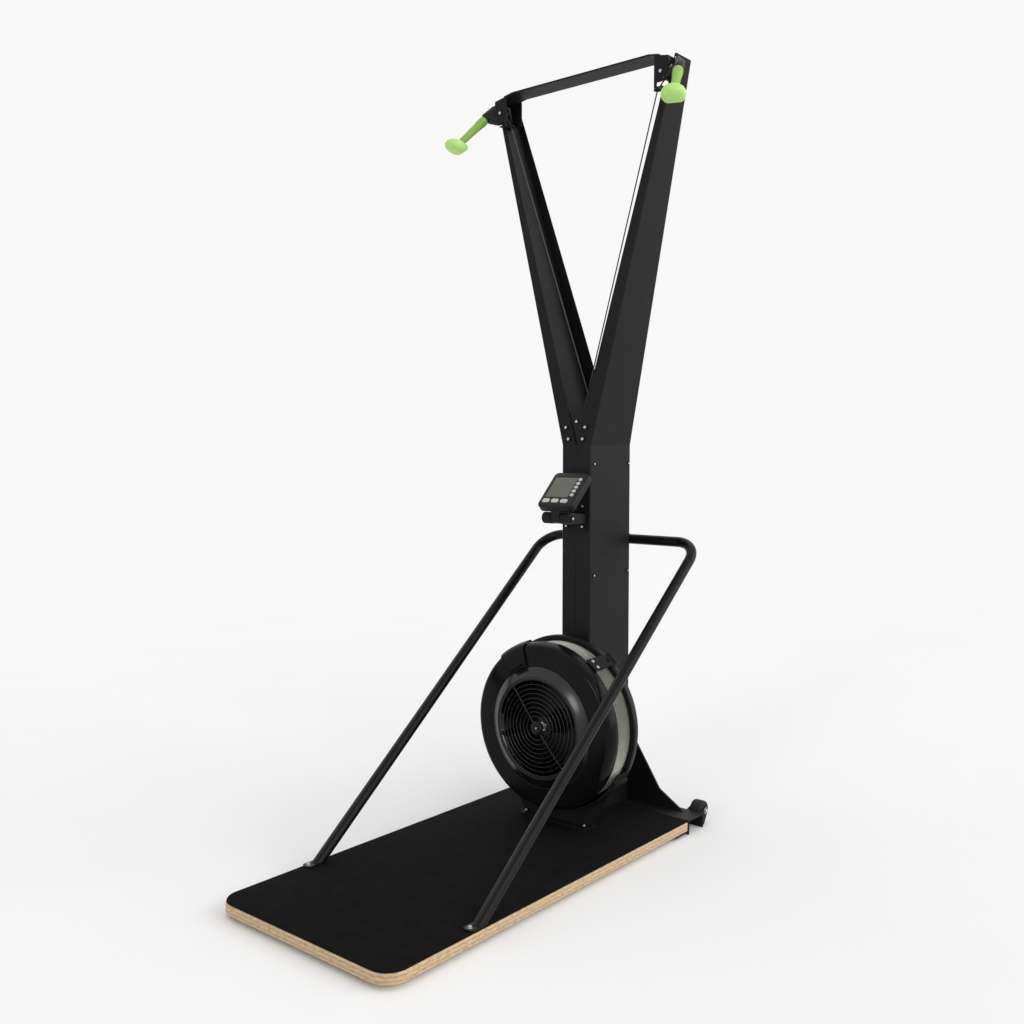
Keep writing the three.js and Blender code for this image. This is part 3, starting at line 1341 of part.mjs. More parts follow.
// Drive cords: spool, idler, eyelet and top sheave, up to the start of the pull
function buildCords() {
  const idlerHeight = deckTop + idlerCentreHeight;
  const sides = [['right', 1, rightCordPlane, 1], ['left', -1, leftCordPlane, 0]];
  for (const [name, side, plane, place] of sides) {
    const mirror = (point) => new THREE.Vector3(side * point.x, point.y, point.z);
    const spoolPlane = spoolFrontFace + spoolWidth / 2 + place * (spoolWidth + spoolGap);
    const idlerMiddle = new THREE.Vector2(-side * idlerCentreHalf, idlerHeight);
    const top = mirror(eyelet);
    const toEyelet = new THREE.Vector2(top.x - idlerMiddle.x, top.z - idlerMiddle.y);
    const bearing = Math.atan2(toEyelet.y, toEyelet.x) + side * Math.acos(idlerRadius / toEyelet.length());
    const wrapFrom = side > 0 ? Math.PI : 0;
    const wrap = Array.from({ length: 4 }, (_, i) => {
      const angle = wrapFrom + (bearing - wrapFrom) * i / 3;
      return new THREE.Vector3(
        idlerMiddle.x + idlerRadius * Math.cos(angle), plane, idlerMiddle.y + idlerRadius * Math.sin(angle));
    });
    const route = [
      new THREE.Vector3(-side * spoolRadius, spoolPlane, fanHeight),
      new THREE.Vector3(-side * spoolRadius, plane, idlerHeight - 3 * idlerRadius),
      ...wrap, top, ...sheaveArc(sheaveSteps).map(mirror),
    ];
    add(`${name}_drive_cord`, tube(route, cordRadius, cordSides), cordFibre);
  }
  const pull = [0, 0.25, 0.5, 0.75, 1].map((share) => pullStart.clone()
    .addScaledVector(pullDirection, seatGap + share * (noseLength - seatGap)));
  addPair('pull_cord', tube(pull, cordRadius, cordSides), cordFibre);
}

// Handle: a slim grip that flares into a wide, tilted pommel
function buildHandles() {
  const across = new THREE.Vector3(0, 0, 1).cross(pullDirection).normalize();
  const upward = new THREE.Vector3().crossVectors(pullDirection, across).normalize();
  const tilt = Math.tan(THREE.MathUtils.degToRad(pommelTilt));
  const ring = (distance, radius, tiltShare, flatShare = 1) => Array.from({ length: handleSides }, (_, i) => {
    const angle = 2 * Math.PI * i / handleSides;
    const rise = Math.max(radius * Math.sin(angle), -flatShare * radius);
    return noseEnd.clone()
      .addScaledVector(pullDirection, distance + tiltShare * tilt * rise)
      .addScaledVector(across, radius * Math.cos(angle))
      .addScaledVector(upward, rise);
  });
  const levels = [
    [seatGap, gripRadius * gripEndShare, 0],
    ...gripShares.map(([share, radiusShare]) => [gripLength * share, gripRadius * radiusShare, 0]),
    ...pommelShares.map(([share, radiusShare, tiltShare]) => [
      gripLength + share * pommelLength, pommelRadius * radiusShare, tiltShare,
      1 - (1 - pommelFlatShare) * tiltShare]),
  ];
  const sections = levels.map((level) => ring(...level));
  addPair('handle', loft(sections, [across, upward]), limeGrip);
}

// Monitor: a tilted case with a lens and eight keys, on a knuckle in front of the mast
const faceUp = new THREE.Vector3(0, Math.cos(THREE.MathUtils.degToRad(monitorTilt)),
  Math.sin(THREE.MathUtils.degToRad(monitorTilt)));
const faceOut = new THREE.Vector3(1, 0, 0).cross(faceUp);
const faceMiddle = new THREE.Vector3(monitorCentreX, monitorDistance, deckTop + monitorCentreHeight);

// Lays a shape drawn on the monitor's face, from one depth to another, both measured outwards
function onFace(shape, low, high, options = plain(high - low)) {
  const turn = new THREE.Matrix4().makeBasis(new THREE.Vector3(1, 0, 0), faceUp, faceOut);
  return new THREE.ExtrudeGeometry(shape, options).translate(0, 0, low)
    .applyMatrix4(turn).translate(faceMiddle.x, faceMiddle.y, faceMiddle.z);
}

function keyPlaces() {
  const places = [];
  const screenBottom = screenOffsetUp - screenHeight / 2;
  for (let i = 0; i < 3; i += 1) {
    places.push([`monitor_key_${i + 1}`, screenOffsetX + keyOffsetX + (i - 1) * keyPitch,
      screenBottom - keyDrop, keyWidth, keyHeight]);
  }
  for (let i = 0; i < sideKeyCount; i += 1) {
    places.push([`monitor_side_key_${i + 1}`, screenOffsetX + screenWidth / 2 + sideKeyOffset,
      screenOffsetUp + ((sideKeyCount - 1) / 2 - i) * sideKeyPitch, sideKeyWidth, sideKeyHeight]);
  }
  return places;
}

function buildMonitor() {
  const body = onFace(roundedRectangle(monitorWidth, monitorHeight, monitorCornerRadius), 0, 0, {
    depth: monitorThickness - 2 * monitorEdgeRadius,
    bevelThickness: monitorEdgeRadius,
    bevelSize: monitorEdgeRadius,
    bevelOffset: -monitorEdgeRadius,
    bevelSegments: 1,
    curveSegments: 3,
  }).translate(...faceOut.clone().multiplyScalar(-monitorThickness + monitorEdgeRadius).toArray());
  const windowWidth = screenWidth + 2 * screenMargin;
  const windowHeight = screenHeight + 2 * screenMargin;
  const screen = roundedRectangle(windowWidth, windowHeight, screenCornerRadius, screenOffsetX, screenOffsetUp);
  const recess = onFace(screen, -screenDepth, cutOverrun);
  const pockets = keyPlaces().map(([, x, up, width, height]) => onFace(
    roundedRectangle(width + 2 * seatGap, height + 2 * seatGap, height / 3 + seatGap, x, up),
    -keyThickness - keyTravel - seatGap, cutOverrun, plain(keyThickness + keyTravel + seatGap + cutOverrun, keySteps)));
  const pivot = [knuckleDistance, deckTop + knuckleHeight];
  const neckTop = faceMiddle.clone().addScaledVector(faceOut, -monitorThickness * 0.6)
    .addScaledVector(faceUp, -monitorHeight * 0.36);
  const neckShape = new THREE.Shape();
  const lean = Math.atan2(neckTop.z - pivot[1], neckTop.y - pivot[0]);
  neckShape.absarc(pivot[0], pivot[1], knuckleRadius - neckSkinGap, lean + Math.PI / 2, lean + 1.5 * Math.PI);
  neckShape.absarc(neckTop.y, neckTop.z, knuckleRadius * 0.55, lean - Math.PI / 2, lean + Math.PI / 2);
  const neck = prismAcross(neckShape, -neckHalf, neckHalf, 2 * cornerSteps);
  const bore = rodAcross(pivot[0], pivot[1], knuckleBoltRadius + seatGap, -knuckleHalf, knuckleHalf);
  add('monitor_case', cut(join(body, neck), recess, bore, ...pockets), blackPlastic);

  const lens = roundedRectangle(windowWidth - 2 * seatGap, windowHeight - 2 * seatGap, screenCornerRadius - seatGap,
    screenOffsetX, screenOffsetUp);
  add('monitor_lens', onFace(lens, -screenDepth + seatGap, -screenDepth + seatGap + lensThickness), screenGlass);
  for (const [name, x, up, width, height] of keyPlaces()) {
    add(name, onFace(roundedRectangle(width, height, height / 3, x, up), keyProud - keyThickness, keyProud,
      plain(keyThickness, keySteps)), paleKey);
  }

  const plateBack = mastFront - seatGap;
  const plateFront = plateBack - monitorPlateSheet;
  const plate = prismBack(roundedRectangle(
    2 * monitorPlateHalf, monitorPlateTop - monitorPlateBottom, monitorPlateCornerRadius,
    0, deckTop + (monitorPlateTop + monitorPlateBottom) / 2), plateFront, plateBack);
  const boltHalf = monitorPlateHalf - monitorPlateBoltInset;
  const boltHeights = [monitorPlateBottom + monitorPlateBoltEdge, monitorPlateTop - monitorPlateBoltEdge];
  const heads = [-1, 1].flatMap((side) => boltHeights.map((height) => rodBack(
    side * boltHalf, deckTop + height, studHeadRadius, plateFront - studHeadHeight, plateFront + rootOverlap,
    boltSides)));
  const armShape = new THREE.Shape();
  armShape.absarc(pivot[0], pivot[1], knuckleRadius, Math.PI / 2, 1.5 * Math.PI);
  armShape.lineTo(plateFront + rootOverlap, pivot[1] - knuckleRadius);
  armShape.lineTo(plateFront + rootOverlap, pivot[1] + knuckleRadius / 2);
  const barrels = [-1, 1].map((side) => prismAcross(armShape,
    Math.min(side * knuckleInnerHalf, side * (knuckleHalf - knuckleStep)),
    Math.max(side * knuckleInnerHalf, side * (knuckleHalf - knuckleStep))));
  const caps = [-1, 1].map((side) => rodAcross(pivot[0], pivot[1], knuckleRadius,
    Math.min(side * knuckleInnerHalf, side * knuckleHalf), Math.max(side * knuckleInnerHalf, side * knuckleHalf),
    knuckleSides));
  const boltEnd = knuckleHalf + knuckleHeadHeight;
  const bolt = rodAcross(pivot[0], pivot[1], knuckleBoltRadius, -knuckleHalf, knuckleHalf, boltSides);
  const boltHeads = [[-boltEnd, rootOverlap - knuckleHalf], [knuckleHalf - rootOverlap, boltEnd]].map(([low, high]) =>
    rodAcross(pivot[0], pivot[1], knuckleHeadRadius, low, high, nutSides));
  add('monitor_bracket', join(plate, ...heads, ...barrels, ...caps, bolt, ...boltHeads), blackPaint);
}

// Transport wheels in forked brackets behind the base's ends
function buildWheels() {
  const innerCheek = wheelCentreX - wheelWidth / 2 - seatGap - cheekSheet;
  const outerCheek = wheelCentreX + wheelWidth / 2 + seatGap + cheekSheet;
  const face = baseRear + seatGap;
  const cheek = new THREE.Shape();
  cheek.moveTo(face, 0);
  cheek.lineTo(face + wheelSetBack * 0.7, 0);
  cheek.absarc(wheelDistance, wheelCentreHeight, cheekRound, -0.35, Math.PI * 0.72);
  cheek.lineTo(face, deckTop);
  const cheeks = [[innerCheek, innerCheek + cheekSheet], [outerCheek - cheekSheet, outerCheek]]
    .map(([low, high]) => prismAcross(cheek, low, high));
  const web = block(innerCheek, outerCheek, face, face + cheekSheet / 2, 0, deckTop);
  const pin = rodAcross(wheelDistance, wheelCentreHeight, wheelPinRadius,
    innerCheek + rootOverlap, outerCheek - rootOverlap);
  const head = rodAcross(wheelDistance, wheelCentreHeight, wheelPinRadius * wheelPinHeadShare,
    outerCheek - rootOverlap, outerCheek + cheekSheet, nutSides);
  addPair('wheel_bracket', join(...cheeks, web, pin, head), blackPaint);

  const half = wheelWidth / 2;
  const round = wheelEdgeRadius;
  const bore = wheelPinRadius + seatGap;
  const profile = [
    [bore, -half], [wheelRadius * 0.45, -half], [wheelRadius * 0.5, -half + wheelDish],
    [wheelRadius - round, -half + wheelDish / 2], [wheelRadius - round * 0.3, -half + round * 0.5], [wheelRadius, -half + 2 * round],
    [wheelRadius, half - 2 * round], [wheelRadius - round * 0.3, half - round * 0.5], [wheelRadius - round, half - wheelDish / 2],
    [wheelRadius * 0.5, half - wheelDish], [wheelRadius * 0.45, half], [bore, half],
  ].map(([radius, y]) => new THREE.Vector2(radius, y));
  const wheel = new THREE.LatheGeometry([...profile, profile[0]], wheelSides).rotateZ(Math.PI / 2)
    .translate(wheelCentreX, wheelDistance, wheelCentreHeight);
  addPair('transport_wheel', wheel, softRubber);
}

buildDeck();
buildRearBase();
buildMast();
buildIdlers();
buildSpools();
buildBungee();
buildBearings();
buildFan();
buildHousing();
buildGrille();
buildDamper();
buildClips();
buildCradle();
buildHoop();
buildCrossbar();
buildHeadBrackets();
buildHeads();
buildCords();
buildHandles();
buildMonitor();
buildWheels();

export default machine;
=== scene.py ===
import math

import bmesh
import bpy
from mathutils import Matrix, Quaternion, Vector


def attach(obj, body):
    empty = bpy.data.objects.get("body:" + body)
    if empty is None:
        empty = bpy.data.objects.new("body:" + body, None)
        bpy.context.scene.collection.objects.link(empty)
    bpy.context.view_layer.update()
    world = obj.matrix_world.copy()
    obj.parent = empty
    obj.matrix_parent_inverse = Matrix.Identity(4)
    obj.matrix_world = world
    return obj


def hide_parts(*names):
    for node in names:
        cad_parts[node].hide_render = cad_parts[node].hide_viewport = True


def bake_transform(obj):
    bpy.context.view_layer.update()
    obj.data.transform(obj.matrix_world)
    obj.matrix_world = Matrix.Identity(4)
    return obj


# Sizes are in millimetres: x to the right of the mast's middle, s back from the deck's front edge,
# z up from the floor. place() turns them into the row frame, in metres.
MM_PER_METRE = 1000
FOOTPRINT_MIDDLE = 671.0
DECK_TOP = 42.0
RIGHT = (1, 0, 0)
BACK = (0, 1, 0)
FORWARD = (0, -1, 0)
UP = (0, 0, 1)
SIDES = (-1, 1)

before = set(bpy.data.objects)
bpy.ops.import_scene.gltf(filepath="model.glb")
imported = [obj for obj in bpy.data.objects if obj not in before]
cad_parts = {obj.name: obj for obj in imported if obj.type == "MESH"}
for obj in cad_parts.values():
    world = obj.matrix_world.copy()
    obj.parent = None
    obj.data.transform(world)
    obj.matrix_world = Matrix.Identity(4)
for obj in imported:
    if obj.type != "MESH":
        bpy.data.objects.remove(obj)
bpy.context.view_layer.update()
scene = bpy.context.scene


def place(point):
    x, s, z = point
    return Vector((x / MM_PER_METRE, (s - FOOTPRINT_MIDDLE) / MM_PER_METRE, z / MM_PER_METRE))


def mirrored(point, side):
    return Vector((point[0] * side, point[1], point[2]))


def side_name(side):
    return "right" if side > 0 else "left"


# Camera: solved from the photograph's corners and edges, in metres and degrees
SENSOR_WIDTH = 36
LENS = 37.453
CAMERA_PLACE = (1.8608, -2.1367, 1.1327)
CAMERA_PITCH = 86.455
CAMERA_TURN = 39.966

camera_data = bpy.data.cameras.new("photo_camera")
camera_data.sensor_width = SENSOR_WIDTH
camera_data.lens = LENS
camera = bpy.data.objects.new("photo_camera", camera_data)
camera.location = CAMERA_PLACE
camera.rotation_euler = (math.radians(CAMERA_PITCH), 0, math.radians(CAMERA_TURN))
scene.collection.objects.link(camera)
scene.camera = camera
scene.view_settings.view_transform = "Standard"


# Materials
# The colour sockets of a Mix node
MIX_SHARE = 0
MIX_FIRST = 6
MIX_SECOND = 7
MIX_RESULT = 2
# Where a ramp's new stop starts, between the two that it has, before it is given its place
NEW_STOP = 0.5


class Finish:
    """A node material built up from a Principled shader."""

    def __init__(self, name, roughness, metallic=0.0, coat=0.0, coat_roughness=0.1, specular=0.5):
        self.material = bpy.data.materials.new(name)
        self.material.use_nodes = True
        self.nodes = self.material.node_tree.nodes
        self.links = self.material.node_tree.links
        self.shader = self.nodes["Principled BSDF"]
        self.shader.inputs["Roughness"].default_value = roughness
        self.shader.inputs["Metallic"].default_value = metallic
        self.shader.inputs["Coat Weight"].default_value = coat
        self.shader.inputs["Coat Roughness"].default_value = coat_roughness
        self.shader.inputs["Specular IOR Level"].default_value = specular
        self.where = self.nodes.new("ShaderNodeTexCoord").outputs["Object"]

    def node(self, kind, **settings):
        made = self.nodes.new(kind)
        for key, value in settings.items():
            setattr(made, key, value)
        return made

    def texture(self, kind, scale, stretch=None, **settings):
        """A texture node on the piece's own coordinates."""
        made = self.node(kind, **settings)
        made.inputs["Scale"].default_value = scale
        where = self.where
        if stretch:
            mapping = self.node("ShaderNodeMapping")
            mapping.inputs["Scale"].default_value = stretch
            self.links.new(where, mapping.inputs["Vector"])
            where = mapping.outputs["Vector"]
        self.links.new(where, made.inputs["Vector"])
        return made

    def noise(self, scale, detail=3.0, stretch=None):
        made = self.texture("ShaderNodeTexNoise", scale, stretch)
        made.inputs["Detail"].default_value = detail
        return made.outputs["Fac"]

    def cells(self, scale):
        return self.texture("ShaderNodeTexVoronoi", scale).outputs["Distance"]

    def waves(self, scale, direction, distortion):
        made = self.texture("ShaderNodeTexWave", scale, bands_direction=direction)
        made.inputs["Distortion"].default_value = distortion
        return made.outputs["Fac"]

    def ramp(self, value, stops):
        made = self.node("ShaderNodeValToRGB")
        elements = made.color_ramp.elements
        while len(elements) < len(stops):
            elements.new(NEW_STOP)
        for element, (position, colour) in zip(elements, stops):
            element.position = position
            element.color = (*colour, 1)
        self.links.new(value, made.inputs["Fac"])
        return made.outputs["Color"]

    def multiplied(self, first, second):
        made = self.node("ShaderNodeMix", data_type="RGBA", blend_type="MULTIPLY")
        made.inputs[MIX_SHARE].default_value = 1.0
        self.links.new(first, made.inputs[MIX_FIRST])
        self.links.new(second, made.inputs[MIX_SECOND])
        return made.outputs[MIX_RESULT]

    def colour(self, value, stops):
        self.links.new(self.ramp(value, stops), self.shader.inputs["Base Color"])

    def rough(self, value, low, high):
        made = self.node("ShaderNodeMapRange")
        made.inputs["To Min"].default_value = low
        made.inputs["To Max"].default_value = high
        self.links.new(value, made.inputs["Value"])
        self.links.new(made.outputs["Result"], self.shader.inputs["Roughness"])

    def bump(self, value, strength, distance):
        made = self.node("ShaderNodeBump")
        made.inputs["Strength"].default_value = strength
        made.inputs["Distance"].default_value = distance
        self.links.new(value, made.inputs["Height"])
        self.links.new(made.outputs["Normal"], self.shader.inputs["Normal"])


# Where the two tones of a wandering colour lie in the noise, and the detail of a fine bump
TONE_STOPS = (0.3, 0.7)
BUMP_DETAIL = 2


def grey(value):
    return (value, value, value)


def grained(name, tones, tone_scale, tone_detail=3.0, rough=None, rough_scale=60, bump=None,
            bump_scale=1500, bump_depth=0.0002, **shader):
    """A finish whose colour wanders between two tones, as do its roughness and height where asked for."""
    finish = Finish(name, **shader)
    finish.colour(finish.noise(tone_scale, tone_detail), list(zip(TONE_STOPS, tones)))
    if rough:
        finish.rough(finish.noise(rough_scale), *rough)
    if bump:
        finish.bump(finish.noise(bump_scale, BUMP_DETAIL), bump, bump_depth)
    return finish


def braided_cord():
    finish = Finish("braided_cord", roughness=0.8)
    braid = finish.waves(scale=330, direction="DIAGONAL", distortion=1.5)
    finish.colour(braid, [(0.2, grey(0.035)), (0.8, grey(0.07))])
    finish.bump(braid, strength=0.5, distance=0.0004)
    return finish


def ply_edge():
    finish = Finish("plywood_edge", roughness=0.58)
    plies = finish.waves(scale=31, direction="Z", distortion=0.35)
    tones = [(0.15, (0.48, 0.33, 0.185)), (0.42, (0.56, 0.4, 0.235)), (0.9, (0.6, 0.44, 0.27))]
    fibres = finish.noise(scale=70, detail=6, stretch=(1, 1, 3))
    grain = finish.ramp(fibres, [(0.34, grey(0.66)), (0.6, grey(1.0))])
    wood = finish.multiplied(finish.ramp(plies, tones), grain)
    finish.links.new(wood, finish.shader.inputs["Base Color"])
    finish.rough(finish.noise(scale=80), low=0.5, high=0.68)
    finish.bump(finish.noise(scale=420, detail=4, stretch=(1, 1, 4)), strength=0.25, distance=0.0004)
    return finish


def deck_rubber():
    finish = grained("deck_mat_rubber", roughness=0.86, specular=0.045, tones=(grey(0.0045), grey(0.007)),
                     tone_scale=24, tone_detail=4, rough=(0.78, 0.92), rough_scale=90)
    finish.bump(finish.cells(scale=520), strength=0.35, distance=0.0005)
    return finish


def handle_rubber(name, low, high):
    return grained(name, roughness=0.5, tones=(low, high), tone_scale=28, tone_detail=4, rough=(0.42, 0.58),
                   rough_scale=70, bump=0.05, bump_scale=1200)


FINISHES = {
    "black_paint": grained(
        "black_powder_coat", roughness=0.5, specular=0.11, tones=(grey(0.007), grey(0.0098)), tone_scale=5,
        rough=(0.44, 0.56), bump=0.12, bump_depth=0.0003),
    "black_plastic": grained(
        "black_moulded_plastic", roughness=0.36, specular=0.16, tones=(grey(0.0055), grey(0.0075)),
        tone_scale=9, rough=(0.3, 0.42), rough_scale=45, bump=0.1, bump_scale=1900),
    "glossy_cover": grained(
        "glossy_cover_plastic", roughness=0.2, specular=0.1, tones=(grey(0.0035), grey(0.005)), tone_scale=7,
        rough=(0.16, 0.24), rough_scale=30, bump=0.05, bump_scale=900),
    "glossy_collar": grained(
        "polished_collar_plastic", roughness=0.26, coat=0.22, coat_roughness=0.16, specular=0.32,
        tones=(grey(0.005), grey(0.007)), tone_scale=7, rough=(0.22, 0.3), rough_scale=30),
    "glossy_rail": grained(
        "black_rail_enamel", roughness=0.27, specular=0.12, tones=(grey(0.0045), grey(0.0065)), tone_scale=5,
        rough=(0.23, 0.31), bump=0.08),
    "zinc_steel": grained(
        "bright_zinc", roughness=0.3, metallic=1.0, tones=((0.42, 0.42, 0.41), (0.56, 0.56, 0.54)),
        tone_scale=220, rough=(0.22, 0.38), rough_scale=320, bump=0.08, bump_scale=1400),
    "wire_mesh": grained(
        "bare_wire_mesh", roughness=0.5, metallic=0.3, tones=((0.33, 0.335, 0.285), (0.52, 0.525, 0.455)),
        tone_scale=140, rough=(0.42, 0.58), rough_scale=240),
    "wire_paint": grained(
        "glossy_wire_paint", roughness=0.22, specular=0.38, tones=(grey(0.004), grey(0.006)), tone_scale=12,
        rough=(0.16, 0.26)),
    "cord": braided_cord(),
    "pale_key": grained(
        "pale_key_rubber", roughness=0.6, tones=((0.43, 0.44, 0.4), (0.52, 0.53, 0.48)), tone_scale=60,
        bump=0.1, bump_scale=1600),
    "plywood": ply_edge(),
    "mat_rubber": deck_rubber(),
    "foot_rubber": grained(
        "soft_black_rubber", roughness=0.8, specular=0.3, tones=(grey(0.011), grey(0.016)), tone_scale=30,
        bump=0.2, bump_scale=900, bump_depth=0.0003),
    "screen": grained(
        "display_glass", roughness=0.22, coat=0.25, coat_roughness=0.06, specular=0.3,
        tones=((0.06, 0.065, 0.042), (0.076, 0.081, 0.055)), tone_scale=18, bump=0.03, bump_scale=700,
        bump_depth=0.0001),
    # The pommel is given a lighter green than the grip.
    "green_grip": handle_rubber("lime_grip_rubber", (0.19, 0.36, 0.035), (0.24, 0.43, 0.05)),
    "green_pommel": handle_rubber("lime_pommel_rubber", (0.39, 0.65, 0.165), (0.46, 0.73, 0.215)),
}

# The slot of each node, by the longest of these words in its name
NODE_SLOTS = {
    "black_plastic": ("sheave_housing", "fan_front_cover", "fan_rear_cover", "fan_wheel", "damper_ring",
                      "sheave", "idler", "monitor_case", "spool"),
    "zinc_steel": ("fan_axle", "bearing", "sheave_pin", "bungee_bracket"),
    "cord": ("cord", "return_bungee"),
    "pale_key": ("key",),
    "plywood": ("deck_board",),
    "mat_rubber": ("deck_mat",),
    "foot_rubber": ("rubber_foot", "transport_wheel"),
    "wire_mesh": ("fan_mesh_band",),
    "screen": ("monitor_lens",),
    "green_grip": ("handle",),
}


def slot_of(name):
    found = [(len(word), slot) for slot, words in NODE_SLOTS.items() for word in words if word in name]
    return max(found)[1] if found else "black_paint"


for name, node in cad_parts.items():
    node.data.materials.clear()
    node.data.materials.append(FINISHES[slot_of(name)].material)


# Shapes: each is a list of points in millimetres and a list of faces
ON_AXIS = 1e-6
NEARLY_UPRIGHT = 0.9


def frame_of(axis):
    axis = Vector(axis).normalized()
    helper = Vector(UP) if abs(axis.z) < NEARLY_UPRIGHT else Vector(BACK)
    across = helper.cross(axis).normalized()
    return axis, across, axis.cross(across)


def lathe(profile, origin, axis, sides, loop=False):
    """Pairs of radius and distance along the axis, turned about it."""
    axis, across, upward = frame_of(axis)
    origin = Vector(origin)
    points = []
    rings = []
    for radius, along in profile:
        middle = origin + axis * along
        count = 1 if radius < ON_AXIS else sides
        rings.append([len(points) + i for i in range(count)])
        for i in range(count):
            angle = 2 * math.pi * i / sides
            points.append(middle + radius * (math.cos(angle) * across + math.sin(angle) * upward))
    pairs = list(zip(rings, rings[1:]))
    if loop:
        pairs.append((rings[-1], rings[0]))
    faces = []
    for low, high in pairs:
        for i in range(sides):
            j = (i + 1) % sides
            corners = [low[i % len(low)], low[j % len(low)], high[j % len(high)], high[i % len(high)]]
            corners = list(dict.fromkeys(corners))
            if len(corners) > 2:
                faces.append(corners)
    return points, faces


def swept_arc(profile, origin, start, end, steps):
    """A closed outline of radius and station, turned about the y axis between two angles from the top."""
    origin = Vector(origin)
    points = []
    count = len(profile)
    for step in range(steps + 1):
        angle = math.radians(start + (end - start) * step / steps)
        way = Vector((math.sin(angle), 0, math.cos(angle)))
        points += [origin + way * radius + Vector((0, station, 0)) for radius, station in profile]
    faces = [list(range(count)), [steps * count + i for i in range(count)]]
    for step in range(steps):
        faces += band(step * count, (step + 1) * count, count)
    return points, faces


def band(low, high, count):
    """The faces between two rings of count points that begin at low and high."""
    turned = [(i + 1) % count for i in range(count)]
    return [[low + i, low + j, high + j, high + i] for i, j in enumerate(turned)]


def tube(path, radius, sides, loop=False):
    path = [Vector(point) for point in path]
    count = len(path)
    tangents = []
    for i in range(count):
        before = path[(i - 1) % count] if loop else path[max(i - 1, 0)]
        after = path[(i + 1) % count] if loop else path[min(i + 1, count - 1)]
        tangents.append((after - before).normalized())
    across = frame_of(tangents[0])[1]
    points = []
    for i, tangent in enumerate(tangents):
        if i:
            across = tangents[i - 1].rotation_difference(tangent) @ across
        across = (across - tangent * across.dot(tangent)).normalized()
        upward = tangent.cross(across)
        for k in range(sides):
            angle = 2 * math.pi * k / sides
            points.append(path[i] + radius * (math.cos(angle) * across + math.sin(angle) * upward))
    faces = []
    rings = count if loop else count - 1
    for i in range(rings):
        faces += band(i * sides, ((i + 1) % count) * sides, sides)
    if not loop:
        faces.append(list(range(sides)))
        faces.append([(count - 1) * sides + k for k in range(sides)])
    return points, faces


def prism(outline, origin, across, upward, depth):
    """An outline in two directions, run along depth from the origin."""
    origin, across, upward, depth = (Vector(v) for v in (origin, across, upward, depth))
    base = [origin + across * u + upward * v for u, v in outline]
    count = len(base)
    points = base + [point + depth for point in base]
    return points, [list(range(count)), [count + i for i in range(count)]] + band(0, count, count)


def joined(*shapes):
    points = []
    faces = []
    for more_points, more_faces in shapes:
        base = len(points)
        points += more_points
        faces += [[base + i for i in face] for face in more_faces]
    return points, faces


def arc(centre, radius, start, end, steps):
    angles = [math.radians(start + (end - start) * i / steps) for i in range(steps + 1)]
    return [(centre[0] + radius * math.cos(a), centre[1] + radius * math.sin(a)) for a in angles]


def rounded_rectangle(width, height, radius, steps, middle=(0, 0)):
    right = width / 2 - radius
    top = height / 2 - radius
    corners = [(right, top, 0), (-right, top, 90), (-right, -top, 180), (right, -top, 270)]
    points = []
    for x, y, start in corners:
        points += arc((middle[0] + x, middle[1] + y), radius, start, start + 90, steps)
    return points


def smooth_line(points, steps):
    """A rounded line through points of any number of directions."""
    points = [Vector(point) for point in points]
    last = len(points) - 1
    line = []
    for i in range(last):
        p0 = points[max(i - 1, 0)]
        p1 = points[i]
        p2 = points[i + 1]
        p3 = points[min(i + 2, last)]
        for step in range(steps):
            t = step / steps
            line.append(0.5 * ((2 * p1) + (p2 - p0) * t + (2 * p0 - 5 * p1 + 4 * p2 - p3) * t * t
                               + (3 * p1 - p0 - 3 * p2 + p3) * t * t * t))
    line.append(points[-1])
    return line


def bent(corners, radius, steps):
    """Straight runs with round bends at the inner corners."""
    corners = [Vector(corner) for corner in corners]
    line = [corners[0]]
    for before, corner, after in zip(corners, corners[1:], corners[2:]):
        inward = (before - corner).normalized()
        onward = (after - corner).normalized()
        half = inward.angle(onward) / 2
        middle = corner + (inward + onward).normalized() * (radius / math.sin(half))
        start = corner + inward * (radius / math.tan(half)) - middle
        axis = onward.cross(inward).normalized()
        for step in range(steps + 1):
            turn = Quaternion(axis, (math.pi - 2 * half) * step / steps)
            line.append(middle + turn @ start)
    line.append(corners[-1])
    return line


# Pieces: a shape becomes an object, is cut or rounded, and is dressed
WELD_METRES = 1e-6
EDGE_ANGLE = 40
CORNER_ANGLE = 50


def settle(piece):
    """Applies a piece's modifiers."""
    graph = bpy.context.evaluated_depsgraph_get()
    mesh = bpy.data.meshes.new_from_object(piece.evaluated_get(graph))
    piece.modifiers.clear()
    piece.data = mesh


def linked(name, mesh):
    piece = bpy.data.objects.new(name, mesh)
    scene.collection.objects.link(piece)
    return piece


def solid(name, shape):
    points, faces = shape
    mesh = bpy.data.meshes.new(name)
    mesh.from_pydata([place(point) for point in points], [], faces)
    work = bmesh.new()
    work.from_mesh(mesh)
    bmesh.ops.remove_doubles(work, verts=work.verts, dist=WELD_METRES)
    bmesh.ops.recalc_face_normals(work, faces=work.faces)
    work.to_mesh(mesh)
    work.free()
    return linked(name, mesh)


def carve(piece, tool, operation="DIFFERENCE"):
    cutter = solid("tool", tool)
    modifier = piece.modifiers.new("carve", "BOOLEAN")
    modifier.operation = operation
    modifier.solver = "EXACT"
    modifier.object = cutter
    settle(piece)
    bpy.data.objects.remove(cutter)


def round_edges(piece, width, segments, least_angle):
    modifier = piece.modifiers.new("edge", "BEVEL")
    modifier.width = width / MM_PER_METRE
    modifier.segments = segments
    modifier.limit_method = "ANGLE"
    modifier.angle_limit = math.radians(least_angle)
    settle(piece)


